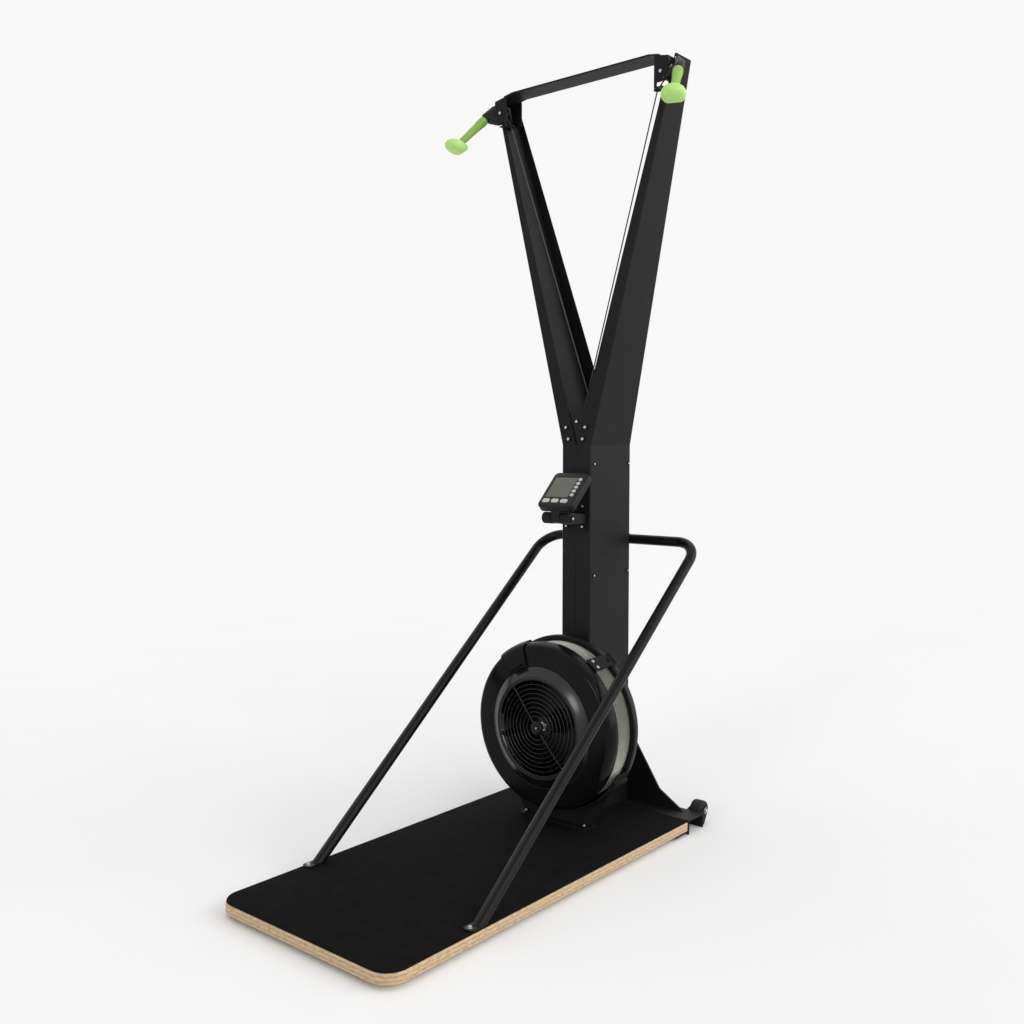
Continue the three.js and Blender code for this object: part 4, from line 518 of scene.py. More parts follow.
def dress(piece, finish, body="frame", stands_for=(), bevel=0.0, segments=3, sharp=38):
    """Rounds a piece's edges, gives it its finish and puts it on its body."""
    if bevel:
        round_edges(piece, bevel, segments, EDGE_ANGLE)
    piece.data.shade_smooth()
    piece.data.set_sharp_from_angle(angle=math.radians(sharp))
    piece.data.materials.clear()
    piece.data.materials.append(FINISHES[finish].material)
    if stands_for:
        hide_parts(*stands_for)
    if body:
        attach(piece, body)


# Bolts: a head on a washer. The head's outline is in shares of its radius and height.
WASHER_SIDES = 28
WASHER_THICKNESS = 1.2
WASHER_CHAMFER = 0.4
HEAD_SUNK = 0.2
HEAD_SHARES = [(1, 0.82), (0.86, 1), (0.3, 1), (0, 0.9)]


def bolt(centre, axis, radius, height, sides=6, washer=1.35):
    """A bolt head that stands on centre along axis, with a washer that many times its radius."""
    crown = [(radius * across, height * up) for across, up in HEAD_SHARES]
    head = [(0, WASHER_THICKNESS - HEAD_SUNK), (radius, WASHER_THICKNESS)] + crown
    rim = radius * washer
    ring = [(0, 0), (rim, 0), (rim, WASHER_THICKNESS - WASHER_CHAMFER),
            (rim - WASHER_CHAMFER, WASHER_THICKNESS), (0, WASHER_THICKNESS)]
    return joined(lathe(head, centre, axis, sides), lathe(ring, centre, axis, WASHER_SIDES))


def dress_bolts(name, heads, stands_for=()):
    dress(solid(name, joined(*heads)), "zinc_steel", stands_for=stands_for)


# Deck: plywood board and rubber mat with rounded front corners
DECK_HALF = 300
DECK_LENGTH = 1198
DECK_FRONT_ROUND = 56
DECK_FRONT_STEPS = 20
DECK_REAR_ROUND = 8
DECK_REAR_STEPS = 6
BOARD_LOW = 12.3
BOARD_HIGH = 37.7
BOARD_BEVEL = 2.4
MAT_LOW = 38.0
MAT_INSET = 2
MAT_BEVEL = 1.4


def deck_outline(inset):
    half = DECK_HALF - inset
    near_round = DECK_FRONT_ROUND - inset
    near = inset + near_round
    far = DECK_LENGTH - inset - DECK_REAR_ROUND
    points = arc((half - near_round, near), near_round, -90, 0, DECK_FRONT_STEPS)
    points += arc((half - DECK_REAR_ROUND, far), DECK_REAR_ROUND, 0, 90, DECK_REAR_STEPS)
    points += arc((-half + DECK_REAR_ROUND, far), DECK_REAR_ROUND, 90, 180, DECK_REAR_STEPS)
    points += arc((-half + near_round, near), near_round, 180, 270, DECK_FRONT_STEPS)
    return points


def flat_slab(outline, low, high):
    return prism(outline, (0, 0, low), RIGHT, BACK, (0, 0, high - low))


def make_deck():
    board = solid("plywood_board", flat_slab(deck_outline(0), BOARD_LOW, BOARD_HIGH))
    dress(board, "plywood", stands_for=["deck_board"], bevel=BOARD_BEVEL)
    mat = solid("rubber_mat", flat_slab(deck_outline(MAT_INSET), MAT_LOW, DECK_TOP))
    dress(mat, "mat_rubber", stands_for=["deck_mat"], bevel=MAT_BEVEL)


# Fan housing. Profiles are pairs of radius from the fan's axis and distance behind the deck's front edge.
FAN = (0, 0, DECK_TOP + 291)
FAN_SIDES = 160
FAN_SHARP = 32
COVER_SKIN = [(240, 922), (240.7, 914), (240.2, 905), (238.6, 896.4), (235.6, 889), (231, 883.2),
              (224.6, 880), (214, 879.1), (196, 879), (176, 879)]
COVER_SKIN_STEPS = 5
COVER_INSIDE = [(174.4, 879.3), (173.6, 880.4), (175, 882.4), (196, 882.4), (214, 882.6), (223.4, 883.6),
                (229.4, 888.6), (233.8, 896), (236.4, 905), (236.8, 917), (232.4, 917), (232.4, 922)]
COLLAR = [(173.4, 882.4), (173.4, 879.4), (172.6, 877.8), (171.4, 876.8), (148.4, 865.2), (146.6, 864.6),
          (145, 865), (144.2, 866.4), (144.2, 868), (146.4, 869), (170, 881), (170.6, 882.4)]
# The slot that the damper lever's stem runs in
SLOT_OUTER = 246
SLOT_INNER = 229
SLOT_START = 90
SLOT_SWEEP = 54
SLOT_STEPS = 40
SLOT_FRONT = 905.7
SLOT_WIDTH = 8.6


def make_front_cover():
    face = [tuple(point) for point in smooth_line(COVER_SKIN, COVER_SKIN_STEPS)]
    cover = solid("front_cover", lathe(face + COVER_INSIDE, FAN, BACK, FAN_SIDES, loop=True))
    mouth = solid("cover_collar", lathe(COLLAR, FAN, BACK, FAN_SIDES, loop=True))
    dress(mouth, "glossy_collar", stands_for=["fan_front_cover"], sharp=FAN_SHARP)
    middle = (0, FAN[2])
    end = SLOT_START + SLOT_SWEEP
    slot = arc(middle, SLOT_OUTER, SLOT_START, end, SLOT_STEPS)
    slot += arc(middle, SLOT_INNER, end, SLOT_START, SLOT_STEPS)
    carve(cover, prism(slot, (0, SLOT_FRONT, 0), RIGHT, UP, (0, SLOT_WIDTH, 0)))
    dress(cover, "glossy_cover", stands_for=["fan_front_cover"], sharp=FAN_SHARP)


# Damper: a lever that lies on the cover's skin, and a ring with windows inside the mesh
LEVER_ANGLE = 27
LEVER_HALF_ANGLE = 11.7
LEVER_STEPS = 28
LEVER_SKIN_END = 912
LEVER_SKIN_STEPS = 4
LEVER_UNDERSIDE = 2.4
LEVER_TOPSIDE = 5.7
LEVER_BACK = 913.8
LEVER_BACK_RADII = (244.2, 247.6)
LEVER_BEVEL = 0.5
TAB = {"width": 51.6, "height": 5.6, "radius": 2, "steps": 5}
TAB_RADIUS = 182
TAB_FRONT = 858
TAB_DEPTH = 16.6
STEM = {"width": 19.6, "height": 7.4, "radius": 1, "steps": 2}
STEM_RADIUS = 224.6
STEM_MIDDLE = 910
STEM_LENGTH = 21
SHUTTER = [(224.1, 906.2), (225.9, 906.2), (225.9, 949.8), (224.1, 949.8)]
WINDOW_COUNT = 12
WINDOW = {"width": 58, "height": 19.6, "radius": 3, "steps": 4}
WINDOW_RADIUS = 205
WINDOW_MIDDLE = 932
WINDOW_DEPTH = 30


def lifted(skin, lift):
    """The line that runs at a distance outside another."""
    line = []
    for i, point in enumerate(skin):
        before = skin[max(i - 1, 0)]
        after = skin[min(i + 1, len(skin) - 1)]
        run = (after - before).normalized()
        line.append((point.x - run.y * lift, point.y + run.x * lift))
    return line


def make_lever():
    skin = smooth_line([point for point in COVER_SKIN if point[1] < LEVER_SKIN_END], LEVER_SKIN_STEPS)
    under = [(LEVER_BACK_RADII[0], LEVER_BACK)] + lifted(skin, LEVER_UNDERSIDE)
    over = [(LEVER_BACK_RADII[1], LEVER_BACK)] + lifted(skin, LEVER_TOPSIDE)
    start = -LEVER_ANGLE - LEVER_HALF_ANGLE
    end = -LEVER_ANGLE + LEVER_HALF_ANGLE
    lever = solid("damper_lever", swept_arc(under + over[::-1], FAN, start, end, LEVER_STEPS))
    turn = math.radians(LEVER_ANGLE)
    across = Vector((math.cos(turn), 0, math.sin(turn)))
    outward = Vector((-math.sin(turn), 0, math.cos(turn)))
    tab_foot = Vector(FAN) + outward * TAB_RADIUS + Vector((0, TAB_FRONT, 0))
    tab = prism(rounded_rectangle(**TAB), tab_foot, across, outward, (0, TAB_DEPTH, 0))
    carve(lever, tab, operation="UNION")
    stem_foot = Vector(FAN) + outward * STEM_RADIUS + Vector((0, STEM_MIDDLE, 0))
    stem = prism(rounded_rectangle(**STEM), stem_foot, across, BACK, outward * STEM_LENGTH)
    carve(lever, stem, operation="UNION")
    return lever


def make_damper():
    lever = make_lever()
    shutter = solid("damper_shutter", lathe(SHUTTER, FAN, BACK, FAN_SIDES, loop=True))
    windows = []
    for i in range(WINDOW_COUNT):
        angle = 2 * math.pi * (i + 0.5) / WINDOW_COUNT
        outward = Vector((math.sin(angle), 0, math.cos(angle)))
        across = Vector((math.cos(angle), 0, -math.sin(angle)))
        foot = Vector(FAN) + outward * WINDOW_RADIUS + Vector((0, WINDOW_MIDDLE, 0))
        windows.append(prism(rounded_rectangle(**WINDOW), foot, across, BACK, outward * WINDOW_DEPTH))
    carve(shutter, joined(*windows))
    dress(shutter, "black_plastic", "damper", sharp=FAN_SHARP)
    dress(lever, "glossy_cover", "damper", stands_for=["damper_ring"], bevel=LEVER_BEVEL, segments=2,
          sharp=FAN_SHARP)


# Grille: rings of wire on a shallow dome, a wavy strut, a hub and a seat ring in the collar
GRILLE_RADIUS = 141.7
GRILLE_DOME = 5.0
GRILLE_MIDDLE = 867.4
RING_COUNT = 9
FIRST_RING = 34
LAST_RING = GRILLE_RADIUS - 4
RING_STEPS = 96
RING_FORWARD = 0.4
RING_WIRE = 1.15
WIRE_SIDES = 10
STRUT_ANGLE = 130
STRUT_STEPS = 96
STRUT_END_GAP = 1
STRUT_BACK = 1.9
STRUT_WAVE = 0.9
STRUT_WAVE_STEPS = 6
STRUT_WIRE = 1.7
HUB = [(0, 860.2), (14, 860.4), (18.4, 861.0), (19.8, 862.4), (19.8, 867.4), (13, 868), (13, 878.4),
       (0, 878.4)]
HUB_SIDES = 48
HUB_SCREW = {"radius": 2.6, "height": 1.8, "washer": 1.1}
GRILLE_SEAT = [(139.4, 866.4), (141.2, 865.8), (143.9, 866.6), (143.9, 870.4), (139.4, 870.4)]
SEAT_SIDES = 128


def grille_level(radius):
    return GRILLE_MIDDLE - GRILLE_DOME * (1 - (radius / GRILLE_RADIUS) ** 2)


def grille_ring(radius):
    level = grille_level(radius) - RING_FORWARD
    line = []
    for k in range(RING_STEPS):
        angle = 2 * math.pi * k / RING_STEPS
        line.append((radius * math.cos(angle), level, FAN[2] + radius * math.sin(angle)))
    return tube(line, RING_WIRE, WIRE_SIDES, loop=True)


def grille_strut():
    angle = math.radians(STRUT_ANGLE)
    way = Vector((math.cos(angle), 0, math.sin(angle)))
    line = []
    for k in range(STRUT_STEPS + 1):
        reach = (2 * k / STRUT_STEPS - 1) * (GRILLE_RADIUS - STRUT_END_GAP)
        wave = STRUT_WAVE * math.cos(2 * math.pi * k / STRUT_WAVE_STEPS)
        line.append(Vector((0, grille_level(abs(reach)) + STRUT_BACK + wave, FAN[2])) + way * reach)
    return tube(line, STRUT_WIRE, WIRE_SIDES)


def make_grille():
    step = (LAST_RING - FIRST_RING) / (RING_COUNT - 1)
    wires = [grille_ring(FIRST_RING + step * i) for i in range(RING_COUNT)]
    wires.append(grille_strut())
    wires.append(lathe(GRILLE_SEAT, FAN, BACK, SEAT_SIDES, loop=True))
    dress(solid("grille_hub", lathe(HUB, FAN, BACK, HUB_SIDES)), "black_plastic", stands_for=["fan_grille"])
    dress_bolts("grille_hub_screw", [bolt((0, HUB[1][1], FAN[2]), FORWARD, **HUB_SCREW)])
    dress(solid("grille_wires", joined(*wires)), "wire_paint", stands_for=["fan_grille"])


# Mesh band: a cylinder of diamond cells, turned into wires
CELLS_ROUND = 360
CELL_ROWS = 19
MESH_FRONT = 916.5
MESH_BACK = 993.5
MESH_RADIUS = 231.2
MESH_WIRE = 1.5


def make_mesh_band():
    points = []
    for row in range(CELL_ROWS + 1):
        s = MESH_FRONT + (MESH_BACK - MESH_FRONT) * row / CELL_ROWS
        for i in range(CELLS_ROUND):
            angle = 2 * math.pi * (i + 0.5 * (row % 2)) / CELLS_ROUND
            points.append((MESH_RADIUS * math.cos(angle), s, FAN[2] + MESH_RADIUS * math.sin(angle)))
    faces = []
    for row in range(CELL_ROWS - 1):
        low = row * CELLS_ROUND
        middle = low + CELLS_ROUND
        high = middle + CELLS_ROUND
        for i in range(CELLS_ROUND):
            right = (i + 1) % CELLS_ROUND if row % 2 else i
            left = i if row % 2 else (i - 1) % CELLS_ROUND
            faces.append([low + i, middle + right, high + i, middle + left])
    mesh = bpy.data.meshes.new("wire_mesh_band")
    mesh.from_pydata([place(point) for point in points], [], faces)
    piece = linked("wire_mesh_band", mesh)
    modifier = piece.modifiers.new("wire", "WIREFRAME")
    modifier.thickness = MESH_WIRE / MM_PER_METRE
    modifier.use_even_offset = False
    modifier.use_boundary = True
    settle(piece)
    dress(piece, "wire_mesh", stands_for=["fan_mesh_band"])


REAR_COVER = [(248, 989), (248.8, 996), (248.4, 1006), (244, 1013), (236, 1019), (222, 1028.4), (200, 1031),
              (150, 1034.6), (96, 1040), (64, 1045.4), (27, 1045.6), (27, 1037), (96, 1036.6), (150, 1031),
              (200, 1027.4), (220, 1024.6), (232.4, 1004), (232.4, 989)]
REAR_COVER_BEVEL = 0.6


def make_rear_cover():
    cover = solid("rear_cover", lathe(REAR_COVER, FAN, BACK, FAN_SIDES, loop=True))
    dress(cover, "black_plastic", stands_for=["fan_rear_cover"], bevel=REAR_COVER_BEVEL, segments=2)


# Screws on the clips that hold the covers together
CLIP_ANGLE = 3 * 360 / 28
CLIP_RADIUS = 247.3
CLIP_MIDDLE = 932
CLIP_SCREW_HALF = 11
CLIP_SCREW = {"radius": 3.6, "height": 2.6}


def make_clip_screws():
    screws = []
    for side in SIDES:
        turn = math.radians(side * CLIP_ANGLE)
        outward = Vector((math.sin(turn), 0, math.cos(turn)))
        across = Vector((math.cos(turn), 0, -math.sin(turn)))
        for reach in (-CLIP_SCREW_HALF, CLIP_SCREW_HALF):
            foot = Vector(FAN) + Vector((0, CLIP_MIDDLE, 0)) + outward * CLIP_RADIUS + across * reach
            screws.append(bolt(foot, outward, **CLIP_SCREW))
    dress_bolts("cover_clip_screws", screws)


# Handrail hoop: one smooth bent tube with a bolted foot tab at each end
HOOP_HALF = 283
HOOP_HEIGHT = 806
HOOP_FOOT = 300
HOOP_REAR = 1270.3
HOOP_SUNK = 30
HOOP_RADIUS = 15
HOOP_SIDES = 32
HOOP_BEND = 72
HOOP_BEND_STEPS = 18
HOOP_SEAT = DECK_TOP + 0.3
HOOP_SHARP = 42
# What is cut from the tube's ends, at and below the deck
GROUND_HALF = 600
GROUND_LOW = -200
GROUND_FRONT = 100
GROUND_LENGTH = 500
FOOT_TAB = {"width": 30, "height": 54, "radius": 11, "steps": 8}
FOOT_TAB_MIDDLE = 284
FOOT_TAB_THICKNESS = 4.5


def make_hoop():
    rail = DECK_TOP + HOOP_HEIGHT
    low = DECK_TOP - HOOP_SUNK
    front = HOOP_FOOT - (HOOP_REAR - HOOP_FOOT) / HOOP_HEIGHT * HOOP_SUNK
    corners = [(-HOOP_HALF, front, low), (-HOOP_HALF, HOOP_REAR, rail), (HOOP_HALF, HOOP_REAR, rail),
               (HOOP_HALF, front, low)]
    line = bent(corners, HOOP_BEND, HOOP_BEND_STEPS)
    hoop = solid("handrail_tube", tube(line, HOOP_RADIUS, HOOP_SIDES))
    ground = [(-GROUND_HALF, GROUND_LOW), (GROUND_HALF, GROUND_LOW), (GROUND_HALF, HOOP_SEAT),
              (-GROUND_HALF, HOOP_SEAT)]
    carve(hoop, prism(ground, (0, GROUND_FRONT, 0), RIGHT, UP, (0, GROUND_LENGTH, 0)))
    for side in SIDES:
        tab = rounded_rectangle(**FOOT_TAB, middle=(side * HOOP_HALF, FOOT_TAB_MIDDLE))
        carve(hoop, flat_slab(tab, HOOP_SEAT, HOOP_SEAT + FOOT_TAB_THICKNESS), operation="UNION")
    dress(hoop, "glossy_rail", stands_for=["handrail_hoop"], sharp=HOOP_SHARP)


# Top sheave housings. The places and directions are the right side's; the left mirrors them.
PULL = Vector((0.2941565329, -0.6503460762, -0.7003726974))
SHEAVE_AXIS = Vector((0.4377227636, 0.7430938746, -0.5061721800))
SHEAVE_UP = Vector((0.849630, -0.157675, 0.503257))
SHEAVE_MIDDLE = Vector((312, 1060, 2143))
PULL_START = Vector((330.692, 1056.531, 2154.072))
NOSE_END = Vector((341.281, 1033.119, 2128.858))
HOUSING_RADIUS = 33.6
HOUSING_ARC = (105, 320)
HOUSING_STEPS = 40
HOUSING_CORNERS = [(35.6, 8), (35.6, 36)]
HOUSING_HALF = 12.8
HOUSING_BEVEL = 5.5
ROUND_SEGMENTS = 4
HOUSING_SHARP = 42
# The nose that the cord leaves by, and its bore
NOSE = [(0, -2), (13.6, -2), (14.6, 2), (14.6, 33), (13.4, 35.8), (5.4, 35.8), (5.4, 30), (0, 30)]
NOSE_SIDES = 40
NOSE_BORE = [(0, 24), (5.2, 24), (5.2, 40), (0, 40)]
BORE_SIDES = 24
SHEAVE_SCREW_OUT = 12.9
SHEAVE_SCREW = {"radius": 6.6, "height": 3.0, "washer": 1.05}


def make_housing(side):
    name = side_name(side)
    axis = mirrored(SHEAVE_AXIS, side)
    pull = mirrored(PULL, side)
    upward = mirrored(SHEAVE_UP, side)
    middle = mirrored(SHEAVE_MIDDLE, side)
    nose = mirrored(PULL_START, side)
    drop = arc((0, 0), HOUSING_RADIUS, *HOUSING_ARC, HOUSING_STEPS) + HOUSING_CORNERS
    shape = prism(drop, middle - axis * HOUSING_HALF, pull, upward, axis * (2 * HOUSING_HALF))
    shell = solid(f"{name}_head_shell", shape)
    round_edges(shell, HOUSING_BEVEL, ROUND_SEGMENTS, CORNER_ANGLE)
    carve(shell, lathe(NOSE, nose, pull, NOSE_SIDES), operation="UNION")
    carve(shell, lathe(NOSE_BORE, nose, pull, BORE_SIDES))
    dress(shell, "black_plastic", stands_for=[f"{name}_sheave_housing"], sharp=HOUSING_SHARP)
    heads = [bolt(middle + axis * (SHEAVE_SCREW_OUT * way), axis * way, **SHEAVE_SCREW) for way in SIDES]
    dress_bolts(f"{name}_head_screws", heads, stands_for=[f"{name}_sheave_pin"])


# Handles and their pull cords. Levels are distance from the nose, radius, and share of the pommel's tilt.
GRIP_LEVELS = [(0.4, 10.4, 0), (1.4, 12.6, 0), (4, 14.1, 0), (12, 14.5, 0), (22, 14.4, 0), (34, 13.3, 0),
               (47, 12.3, 0), (70, 11.7, 0), (90, 11.1, 0), (109, 10.9, 0)]
POMMEL_LEVELS = [(109.4, 10.9, 0.2), (111.6, 14, 0.4), (114, 19, 0.7), (117.6, 26.4, 1), (121.4, 30.4, 1),
                 (126, 32.4, 1), (132, 33, 1), (138, 32, 1), (143.6, 29, 1), (148, 24.4, 1), (151.4, 16, 1),
                 (152.4, 8, 1)]
LEVEL_STEPS = 5
HANDLE_SIDES = 64
POMMEL_TILT = 20
POMMEL_FLAT_SHARE = 0.22
POMMEL_FLAT_SOFTNESS = 1.1
GRIP_SHARP = 50
POMMEL_SHARP = 60
CORD_RADIUS = 2
CORD_SIDES = 14
CORD_STEPS = 24
CORD_START_GAP = 0.3
CORD_END_OVERLAP = 0.2


def handle_part(levels, start, pull, across, upward):
    """A round form along the pull, tilted and flattened below by the levels' shares."""
    tilt = math.tan(math.radians(POMMEL_TILT))
    line = smooth_line(levels, LEVEL_STEPS)
    points = []
    for distance, radius, share in line:
        flat = radius * (1 - POMMEL_FLAT_SHARE * share)
        for i in range(HANDLE_SIDES):
            angle = 2 * math.pi * i / HANDLE_SIDES
            fall = radius * math.sin(angle)
            soft = math.log(1 + math.exp((-fall - flat) / POMMEL_FLAT_SOFTNESS)) * POMMEL_FLAT_SOFTNESS
            rise = fall + soft
            along = distance + share * tilt * rise
            points.append(start + pull * along + across * (radius * math.cos(angle)) + upward * rise)
    faces = []
    last = (len(line) - 1) * HANDLE_SIDES
    for low in range(0, last, HANDLE_SIDES):
        faces += band(low, low + HANDLE_SIDES, HANDLE_SIDES)
    faces.append(list(range(HANDLE_SIDES)))
    faces.append([last + i for i in range(HANDLE_SIDES)])
    return points, faces


def make_handle(side):
    name = side_name(side)
    pull = mirrored(PULL, side)
    across = Vector(UP).cross(pull).normalized()
    upward = pull.cross(across).normalized()
    start = mirrored(NOSE_END, side)
    grip = solid(f"{name}_grip", handle_part(GRIP_LEVELS, start, pull, across, upward))
    dress(grip, "green_grip", f"{name}_pull", stands_for=[f"{name}_handle"], sharp=GRIP_SHARP)
    pommel = solid(f"{name}_pommel", handle_part(POMMEL_LEVELS, start, pull, across, upward))
    dress(pommel, "green_pommel", f"{name}_pull", sharp=POMMEL_SHARP)

    first = mirrored(PULL_START, side) + pull * CORD_START_GAP
    last = start + pull * CORD_END_OVERLAP
    line = [first + (last - first) * (k / CORD_STEPS) for k in range(CORD_STEPS + 1)]
    cord = solid(f"{name}_pull_rope", tube(line, CORD_RADIUS, CORD_SIDES))
    dress(cord, "cord", None, stands_for=[f"{name}_pull_cord"])
    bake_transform(cord)


# Monitor: a rounded case with a sunk screen, pockets for its keys and a neck
MONITOR_MIDDLE = Vector((4, 979, DECK_TOP + 966))
MONITOR_PIVOT = Vector((0, 962, DECK_TOP + 884))
MONITOR_LEAN = 45
CASE = {"width": 124, "height": 134, "radius": 14, "steps": 10}
CASE_DEPTH = 24
CASE_BEVEL = 3.4
CASE_SHARP = 42
NECK_BACK = 14.4
NECK_DROP = 48.24
NECK_HALF = 15
NECK_LOW_RADIUS = 16
NECK_LOW_STEPS = 24
NECK_TOP_RADIUS = 9.4
NECK_TOP_STEPS = 16
PIVOT_BORE = [(0, -40), (5.3, -40), (5.3, 40), (0, 40)]
# How far the cuts run out in front of the case's face
CUT_OUT = 4
WINDOW_CENTRE = (-10, 9)
SCREEN = {"width": 82, "height": 78, "radius": 4, "steps": 6}
SCREEN_DEPTH = 3
KEY_COUNT = 3
KEY_SIZE = (24, 14)
KEY_PITCH = 32
KEY_MIDDLE = (-5, -45)
SIDE_KEY_COUNT = 5
SIDE_KEY_SIZE = (12, 10)
SIDE_KEY_PITCH = 15
SIDE_KEY_MIDDLE = (42, 9)
POCKET_GAP = 0.3
POCKET_DEPTH = 6.5
POCKET_STEPS = 5


def make_neck(out, up):
    top = MONITOR_MIDDLE - out * NECK_BACK - up * NECK_DROP
    lean = math.degrees(math.atan2(top.z - MONITOR_PIVOT.z, top.y - MONITOR_PIVOT.y))
    outline = arc(MONITOR_PIVOT.yz, NECK_LOW_RADIUS, lean + 90, lean + 270, NECK_LOW_STEPS)
    outline += arc(top.yz, NECK_TOP_RADIUS, lean - 90, lean + 90, NECK_TOP_STEPS)
    return prism(outline, (-NECK_HALF, 0, 0), BACK, UP, (2 * NECK_HALF, 0, 0))


def key_places():
    """The middle and size of each key's pocket on the case's face."""
    places = []
    for i in range(KEY_COUNT):
        places.append((KEY_MIDDLE[0] + (i - 1) * KEY_PITCH, KEY_MIDDLE[1], *KEY_SIZE))
    for i in range(SIDE_KEY_COUNT):
        places.append((SIDE_KEY_MIDDLE[0], SIDE_KEY_MIDDLE[1] + (2 - i) * SIDE_KEY_PITCH, *SIDE_KEY_SIZE))
    return places


def make_monitor():
    lean = math.radians(MONITOR_LEAN)
    up = Vector((0, math.sin(lean), math.cos(lean)))
    out = Vector((0, -math.cos(lean), math.sin(lean)))

    def on_face(outline, low, high):
        return prism(outline, MONITOR_MIDDLE + out * low, RIGHT, up, out * (high - low))

    case = solid("display_case", on_face(rounded_rectangle(**CASE), -CASE_DEPTH, 0))
    round_edges(case, CASE_BEVEL, ROUND_SEGMENTS, CORNER_ANGLE)
    carve(case, make_neck(out, up), operation="UNION")
    carve(case, on_face(rounded_rectangle(**SCREEN, middle=WINDOW_CENTRE), -SCREEN_DEPTH, CUT_OUT))
    carve(case, lathe(PIVOT_BORE, MONITOR_PIVOT, RIGHT, BORE_SIDES))
    for x, y, width, height in key_places():
        pocket = rounded_rectangle(width + 2 * POCKET_GAP, height + 2 * POCKET_GAP, height / 3 + POCKET_GAP,
                                   POCKET_STEPS, (x, y))
        carve(case, on_face(pocket, -POCKET_DEPTH, CUT_OUT))
    dress(case, "black_plastic", "monitor", stands_for=["monitor_case"], sharp=CASE_SHARP)


# Transport wheels. The profile runs from the bore to the tread, as radius and depth from the wheel's face.
WHEEL_MIDDLE = (267, 1314, 39)
WHEEL_HALF = 19
WHEEL_PROFILE = [(5.3, 0), (11, 0), (12.6, 1), (13.4, 2.4), (21, 2), (24, 1.4), (26.4, 3), (27.6, 6),
                 (28, 10)]
WHEEL_SIDES = 56
WHEEL_BOLT_OUT = 290.6
WHEEL_BOLT = {"radius": 7.2, "height": 4.4}


def make_wheel(side):
    name = side_name(side)
    profile = [(radius, depth - WHEEL_HALF) for radius, depth in WHEEL_PROFILE]
    profile += [(radius, WHEEL_HALF - depth) for radius, depth in reversed(WHEEL_PROFILE)]
    shape = lathe(profile, mirrored(WHEEL_MIDDLE, side), RIGHT, WHEEL_SIDES, loop=True)
    wheel = solid(f"{name}_rubber_wheel", shape)
    dress(wheel, "foot_rubber", f"{name}_wheel", stands_for=[f"{name}_transport_wheel"])
    seat = mirrored((WHEEL_BOLT_OUT, *WHEEL_MIDDLE[1:]), side)
    dress_bolts(f"{name}_wheel_bolt", [bolt(seat, (side, 0, 0), **WHEEL_BOLT)])


# Bright bolts on the painted parts. Heights are above the deck.
MAST_HALF = 51
MAST_BOLT_HEIGHTS = (712, 1039)
MAST_BOLT_ROWS = (1066, 1243)
MAST_BOLT = {"radius": 3.5, "height": 3.3, "washer": 1.1}
STUD_PLACES = [(0, 1047.7, 1162), (-34.5, 1041.8, 1145), (34.5, 1041.8, 1145), (-25.5, 1041.8, 1111),
               (25.5, 1041.8, 1111)]
STUD = {"radius": 3.9, "height": 2.4, "sides": 24, "washer": 1.1}
FOOT_BOLT_SEAT = (HOOP_HALF, 269, DECK_TOP + 4.8)
FOOT_BOLT = {"radius": 5.2, "height": 4.4, "washer": 1.2}
CRADLE_HALF = 106
CRADLE_BOLT_ROWS = (948, 974)
CRADLE_FLANGE = 8.3
CRADLE_BOLT = {"radius": 3.6, "height": 4.2, "washer": 1.2}
BRACKET_HALF = 29
BRACKET_FRONT = 1037.6
BRACKET_BOLT_HEIGHTS = (856, 916)
BRACKET_BOLT = {"radius": 3.2, "height": 2.2, "sides": 24, "washer": 1.1}
PIVOT_BOLT_SEAT = (52, *MONITOR_PIVOT.yz)
PIVOT_BOLT = {"radius": 3.4, "height": 2.2, "washer": 1.1}
HEAD_BOLT_SEAT = (284, 1036, DECK_TOP + 2097)
HEAD_BOLT = {"radius": 4.2, "height": 2.6, "washer": 1.1}


def make_bolts():
    mast = []
    cradle = []
    bracket = []
    feet = []
    heads = []
    for side in SIDES:
        outward = (side, 0, 0)
        for height in MAST_BOLT_HEIGHTS:
            for s in MAST_BOLT_ROWS:
                mast.append(bolt((side * MAST_HALF, s, DECK_TOP + height), outward, **MAST_BOLT))
        for s in CRADLE_BOLT_ROWS:
            cradle.append(bolt((side * CRADLE_HALF, s, DECK_TOP + CRADLE_FLANGE), UP, **CRADLE_BOLT))
        for height in BRACKET_BOLT_HEIGHTS:
            seat = (side * BRACKET_HALF, BRACKET_FRONT, DECK_TOP + height)
            bracket.append(bolt(seat, FORWARD, **BRACKET_BOLT))
        bracket.append(bolt(mirrored(PIVOT_BOLT_SEAT, side), outward, **PIVOT_BOLT))
        feet.append(bolt(mirrored(FOOT_BOLT_SEAT, side), UP, **FOOT_BOLT))
        heads.append(bolt(mirrored(HEAD_BOLT_SEAT, side), FORWARD, **HEAD_BOLT))
    studs = [bolt((x, s, DECK_TOP + height), FORWARD, **STUD) for x, s, height in STUD_PLACES]
    dress_bolts("mast_side_bolts", mast)
    dress_bolts("idler_plate_bolts", studs)
    dress_bolts("hoop_foot_bolts", feet)
    dress_bolts("cradle_bolts", cradle)
    dress_bolts("monitor_bracket_bolts", bracket)
    dress_bolts("head_bracket_bolts", heads)


# Floor, backdrop and light
FLOOR_REACH = 60.0
BACKDROP_TONE = 0.94
WORLD_LIGHT = 0.54
# Each lamp's name, the way to it, its strength, and its width in degrees
LAMPS = [
    ("overhead_light", (-0.2, 0.3, 1), 0.47, 70),
    ("right_light", (0.85, -0.35, 0.5), 0.76, 40),
    ("front_light", (0.1, -0.96, 0.26), 0.5, 15),
    ("side_light", (0.8, 0.5, 0.35), 1.4, 60),
]


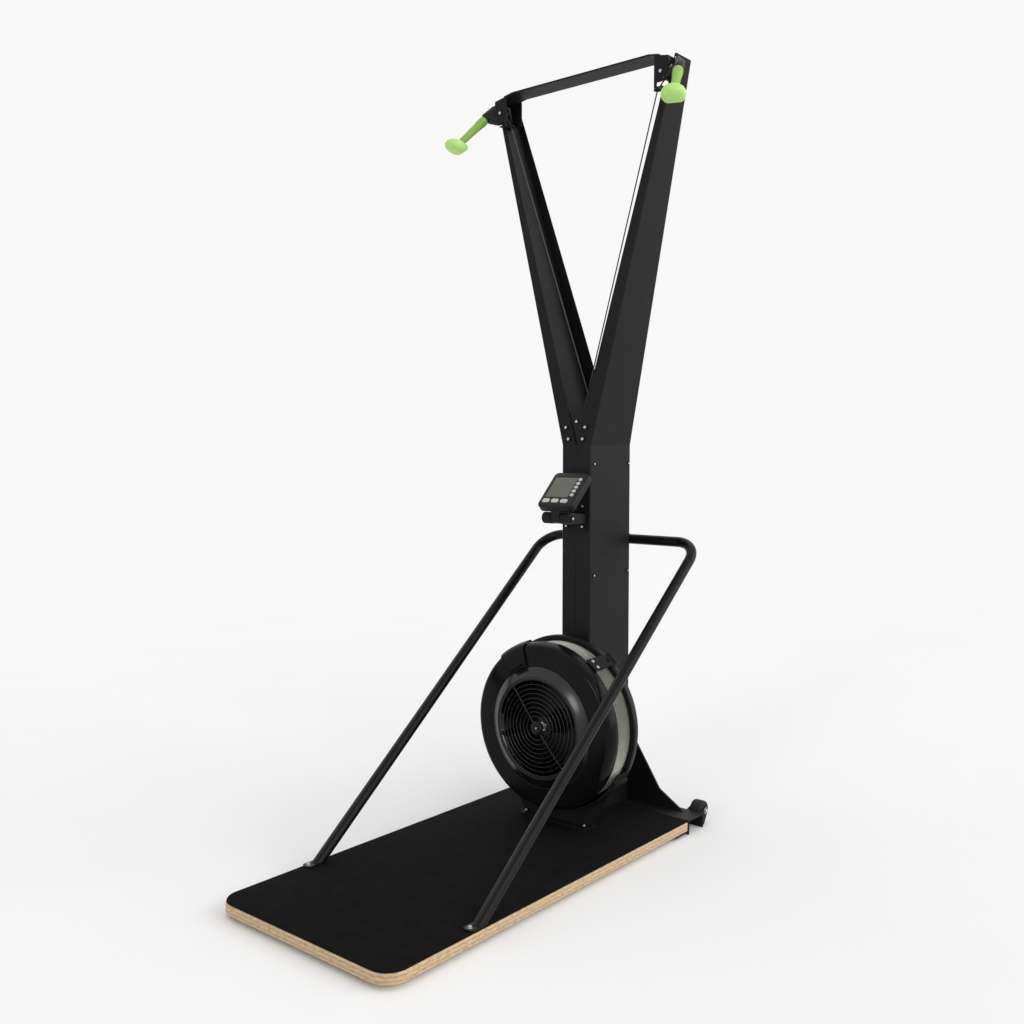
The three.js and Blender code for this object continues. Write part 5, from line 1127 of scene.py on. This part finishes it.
def make_floor():
    mesh = bpy.data.meshes.new("studio_floor")
    corners = [(x * FLOOR_REACH, y * FLOOR_REACH, 0) for x, y in ((-1, -1), (1, -1), (1, 1), (-1, 1))]
    mesh.from_pydata(corners, [], [(0, 1, 2, 3)])
    floor = linked("studio_floor", mesh)
    paper = grained("studio_paper", roughness=0.95, specular=0.0, tones=(grey(0.94), grey(0.95)),
                    tone_scale=2)
    mesh.materials.append(paper.material)


def make_world():
    """A plain backdrop for what is seen, mirrored or looked through, and a softer light on everything."""
    world = bpy.data.worlds.new("studio")
    scene.world = world
    world.use_nodes = True
    nodes = world.node_tree.nodes
    links = world.node_tree.links
    nodes.clear()

    def background(colour, strength):
        made = nodes.new("ShaderNodeBackground")
        made.inputs["Color"].default_value = (*colour, 1)
        made.inputs["Strength"].default_value = strength
        return made.outputs[0]

    def either(first, second):
        made = nodes.new("ShaderNodeMath")
        made.operation = "MAXIMUM"
        links.new(first, made.inputs[0])
        links.new(second, made.inputs[1])
        return made.outputs[0]

    rays = nodes.new("ShaderNodeLightPath").outputs
    shown = either(either(rays["Is Camera Ray"], rays["Is Glossy Ray"]), rays["Is Transmission Ray"])
    blend = nodes.new("ShaderNodeMixShader")
    sources = (shown, background(grey(1), WORLD_LIGHT), background(grey(BACKDROP_TONE), 1.0))
    for source, socket in zip(sources, blend.inputs):
        links.new(source, socket)
    output = nodes.new("ShaderNodeOutputWorld")
    links.new(blend.outputs[0], output.inputs[0])


def make_lamps():
    for name, way, strength, spread in LAMPS:
        data = bpy.data.lights.new(name, "SUN")
        data.energy = strength
        data.angle = math.radians(spread)
        lamp = bpy.data.objects.new(name, data)
        lamp.location = way
        lamp.rotation_euler = (-Vector(way)).to_track_quat("-Z", "Y").to_euler()
        scene.collection.objects.link(lamp)


make_deck()
make_front_cover()
make_damper()
make_grille()
make_mesh_band()
make_rear_cover()
make_clip_screws()
make_hoop()
make_monitor()
for side in SIDES:
    make_housing(side)
    make_handle(side)
    make_wheel(side)
make_bolts()
make_floor()
make_world()
make_lamps()
